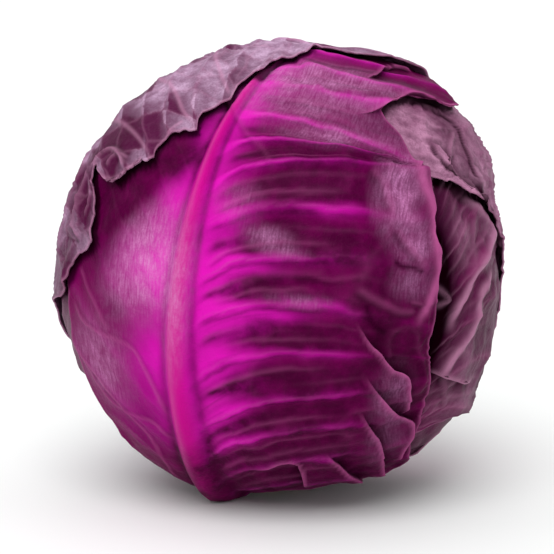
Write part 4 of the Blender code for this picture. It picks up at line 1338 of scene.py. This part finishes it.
class CABBAGE_OT_add_leaf(bpy.types.Operator):
    """Add one loose leaf over what is already there"""

    bl_idname = "cabbage.add_leaf"
    bl_label = "Add leaf"

    leaf: StringProperty(name="Leaf", description="Which leaf to add", default="front_leaf")

    def execute(self, context):
        leaf = next(leaf for leaf in LEAVES if leaf["name"] == self.leaf)
        tints = colours()
        if self.leaf == "front_leaf":
            material = leaf_material("young_" + self.leaf, tints.body, tints.vivid, tints.bloom, tints.vein,
                                     tints.rib, YOUNG_BLADE)
        else:
            wax = tints.old_bloom if self.leaf == "cap_leaf" else tints.outer_bloom
            material = leaf_material("old_" + self.leaf, tints.outer, tints.body, wax, tints.old_vein,
                                     tints.old_rib, OLD_BLADE)
        finish_piece(build_leaf(leaf), self.leaf, material)
        return {"FINISHED"}


class CABBAGE_OT_add_stage(bpy.types.Operator):
    """Add the pale floor, the soft lights and the camera"""

    bl_idname = "cabbage.add_stage"
    bl_label = "Add stage"

    def execute(self, context):
        bpy.ops.object.select_all(action="DESELECT")
        bpy.ops.mesh.primitive_plane_add(size=FLOOR_SIZE, location=(0, 0, 0))
        floor = name_active("floor")
        material, _, shader = new_material("matt_white_paper")
        shader.inputs["Base Color"].default_value = (*linear("#f2f4f3"), 1)
        shader.inputs["Roughness"].default_value = 0.9
        floor.data.materials.append(material)

        world = bpy.data.worlds.new("white_studio")
        world.use_nodes = True
        background = world.node_tree.nodes["Background"]
        background.inputs["Color"].default_value = (1, 1, 1, 1)
        background.inputs["Strength"].default_value = SURROUNDINGS
        context.scene.world = world
        centre = Vector(HEAD_CENTRE * MM)
        for name, place, spread, power in LIGHTS:
            bpy.ops.object.light_add(type="SUN", location=place)
            light = name_active(name)
            light.data.angle = math.radians(spread)
            light.data.energy = power
            light.rotation_mode = "QUATERNION"
            light.rotation_quaternion = (centre - Vector(place)).to_track_quat("-Z", "Y")

        radius = HEAD_RADIUS * MM
        pixels_per_slope = PHOTO_HEAD_PIXELS * math.sqrt(FRAMING_DISTANCE**2 - radius**2) / radius
        back = Vector((0, -math.cos(CAMERA_ELEVATION), math.sin(CAMERA_ELEVATION)))
        up = Vector((0, math.sin(CAMERA_ELEVATION), math.cos(CAMERA_ELEVATION)))
        per_pixel = CAMERA_DISTANCE / pixels_per_slope
        right_of_middle = (PHOTO_HEAD_CENTRE[0] - FRAME_PIXELS / 2) * per_pixel
        above_middle = (FRAME_PIXELS / 2 - PHOTO_HEAD_CENTRE[1]) * per_pixel
        aim = centre - Vector((right_of_middle, 0, 0)) - up * above_middle
        bpy.ops.object.camera_add(location=aim + back * CAMERA_DISTANCE)
        camera = name_active("camera")
        camera.rotation_mode = "QUATERNION"
        camera.rotation_quaternion = (-back).to_track_quat("-Z", "Y")
        camera.data.sensor_width = SENSOR
        camera.data.lens = pixels_per_slope * SENSOR / FRAME_PIXELS
        context.scene.camera = camera
        context.scene.view_settings.view_transform = "Standard"
        return {"FINISHED"}


class CABBAGE_PT_panel(bpy.types.Panel):
    """The head's pieces, sizes and colours in the sidebar"""

    bl_label = "Red cabbage"
    bl_space_type = "VIEW_3D"
    bl_region_type = "UI"
    bl_category = "Cabbage"

    def draw(self, context):
        layout = self.layout
        layout.operator("cabbage.add_stem")
        layout.operator("cabbage.add_heart")
        for leaf in LEAVES:
            layout.operator("cabbage.add_leaf", text=leaf["name"]).leaf = leaf["name"]
        layout.operator("cabbage.add_stage")
        for group in (context.scene.cabbage_sizes, context.scene.cabbage_colours):
            for name in group.bl_rna.properties.keys():
                if name not in ("rna_type", "name"):
                    layout.prop(group, name)


CLASSES = (
    CabbageSizes,
    CabbageColours,
    CABBAGE_OT_add_stem,
    CABBAGE_OT_add_heart,
    CABBAGE_OT_add_leaf,
    CABBAGE_OT_add_stage,
    CABBAGE_PT_panel,
)


def register():
    """Add the classes and their settings."""
    for cls in CLASSES:
        bpy.utils.register_class(cls)
    bpy.types.Scene.cabbage_sizes = PointerProperty(type=CabbageSizes)
    bpy.types.Scene.cabbage_colours = PointerProperty(type=CabbageColours)


def unregister():
    """Take the settings and the classes away again."""
    del bpy.types.Scene.cabbage_sizes
    del bpy.types.Scene.cabbage_colours
    for cls in reversed(CLASSES):
        bpy.utils.unregister_class(cls)


def main():
    """Build the head from the stalk outwards, then the stage."""
    register()
    bpy.ops.cabbage.add_stem()
    bpy.ops.cabbage.add_heart()
    for leaf in LEAVES:
        bpy.ops.cabbage.add_leaf(leaf=leaf["name"])
    bpy.ops.cabbage.add_stage()


if __name__ == "__main__":
    main()
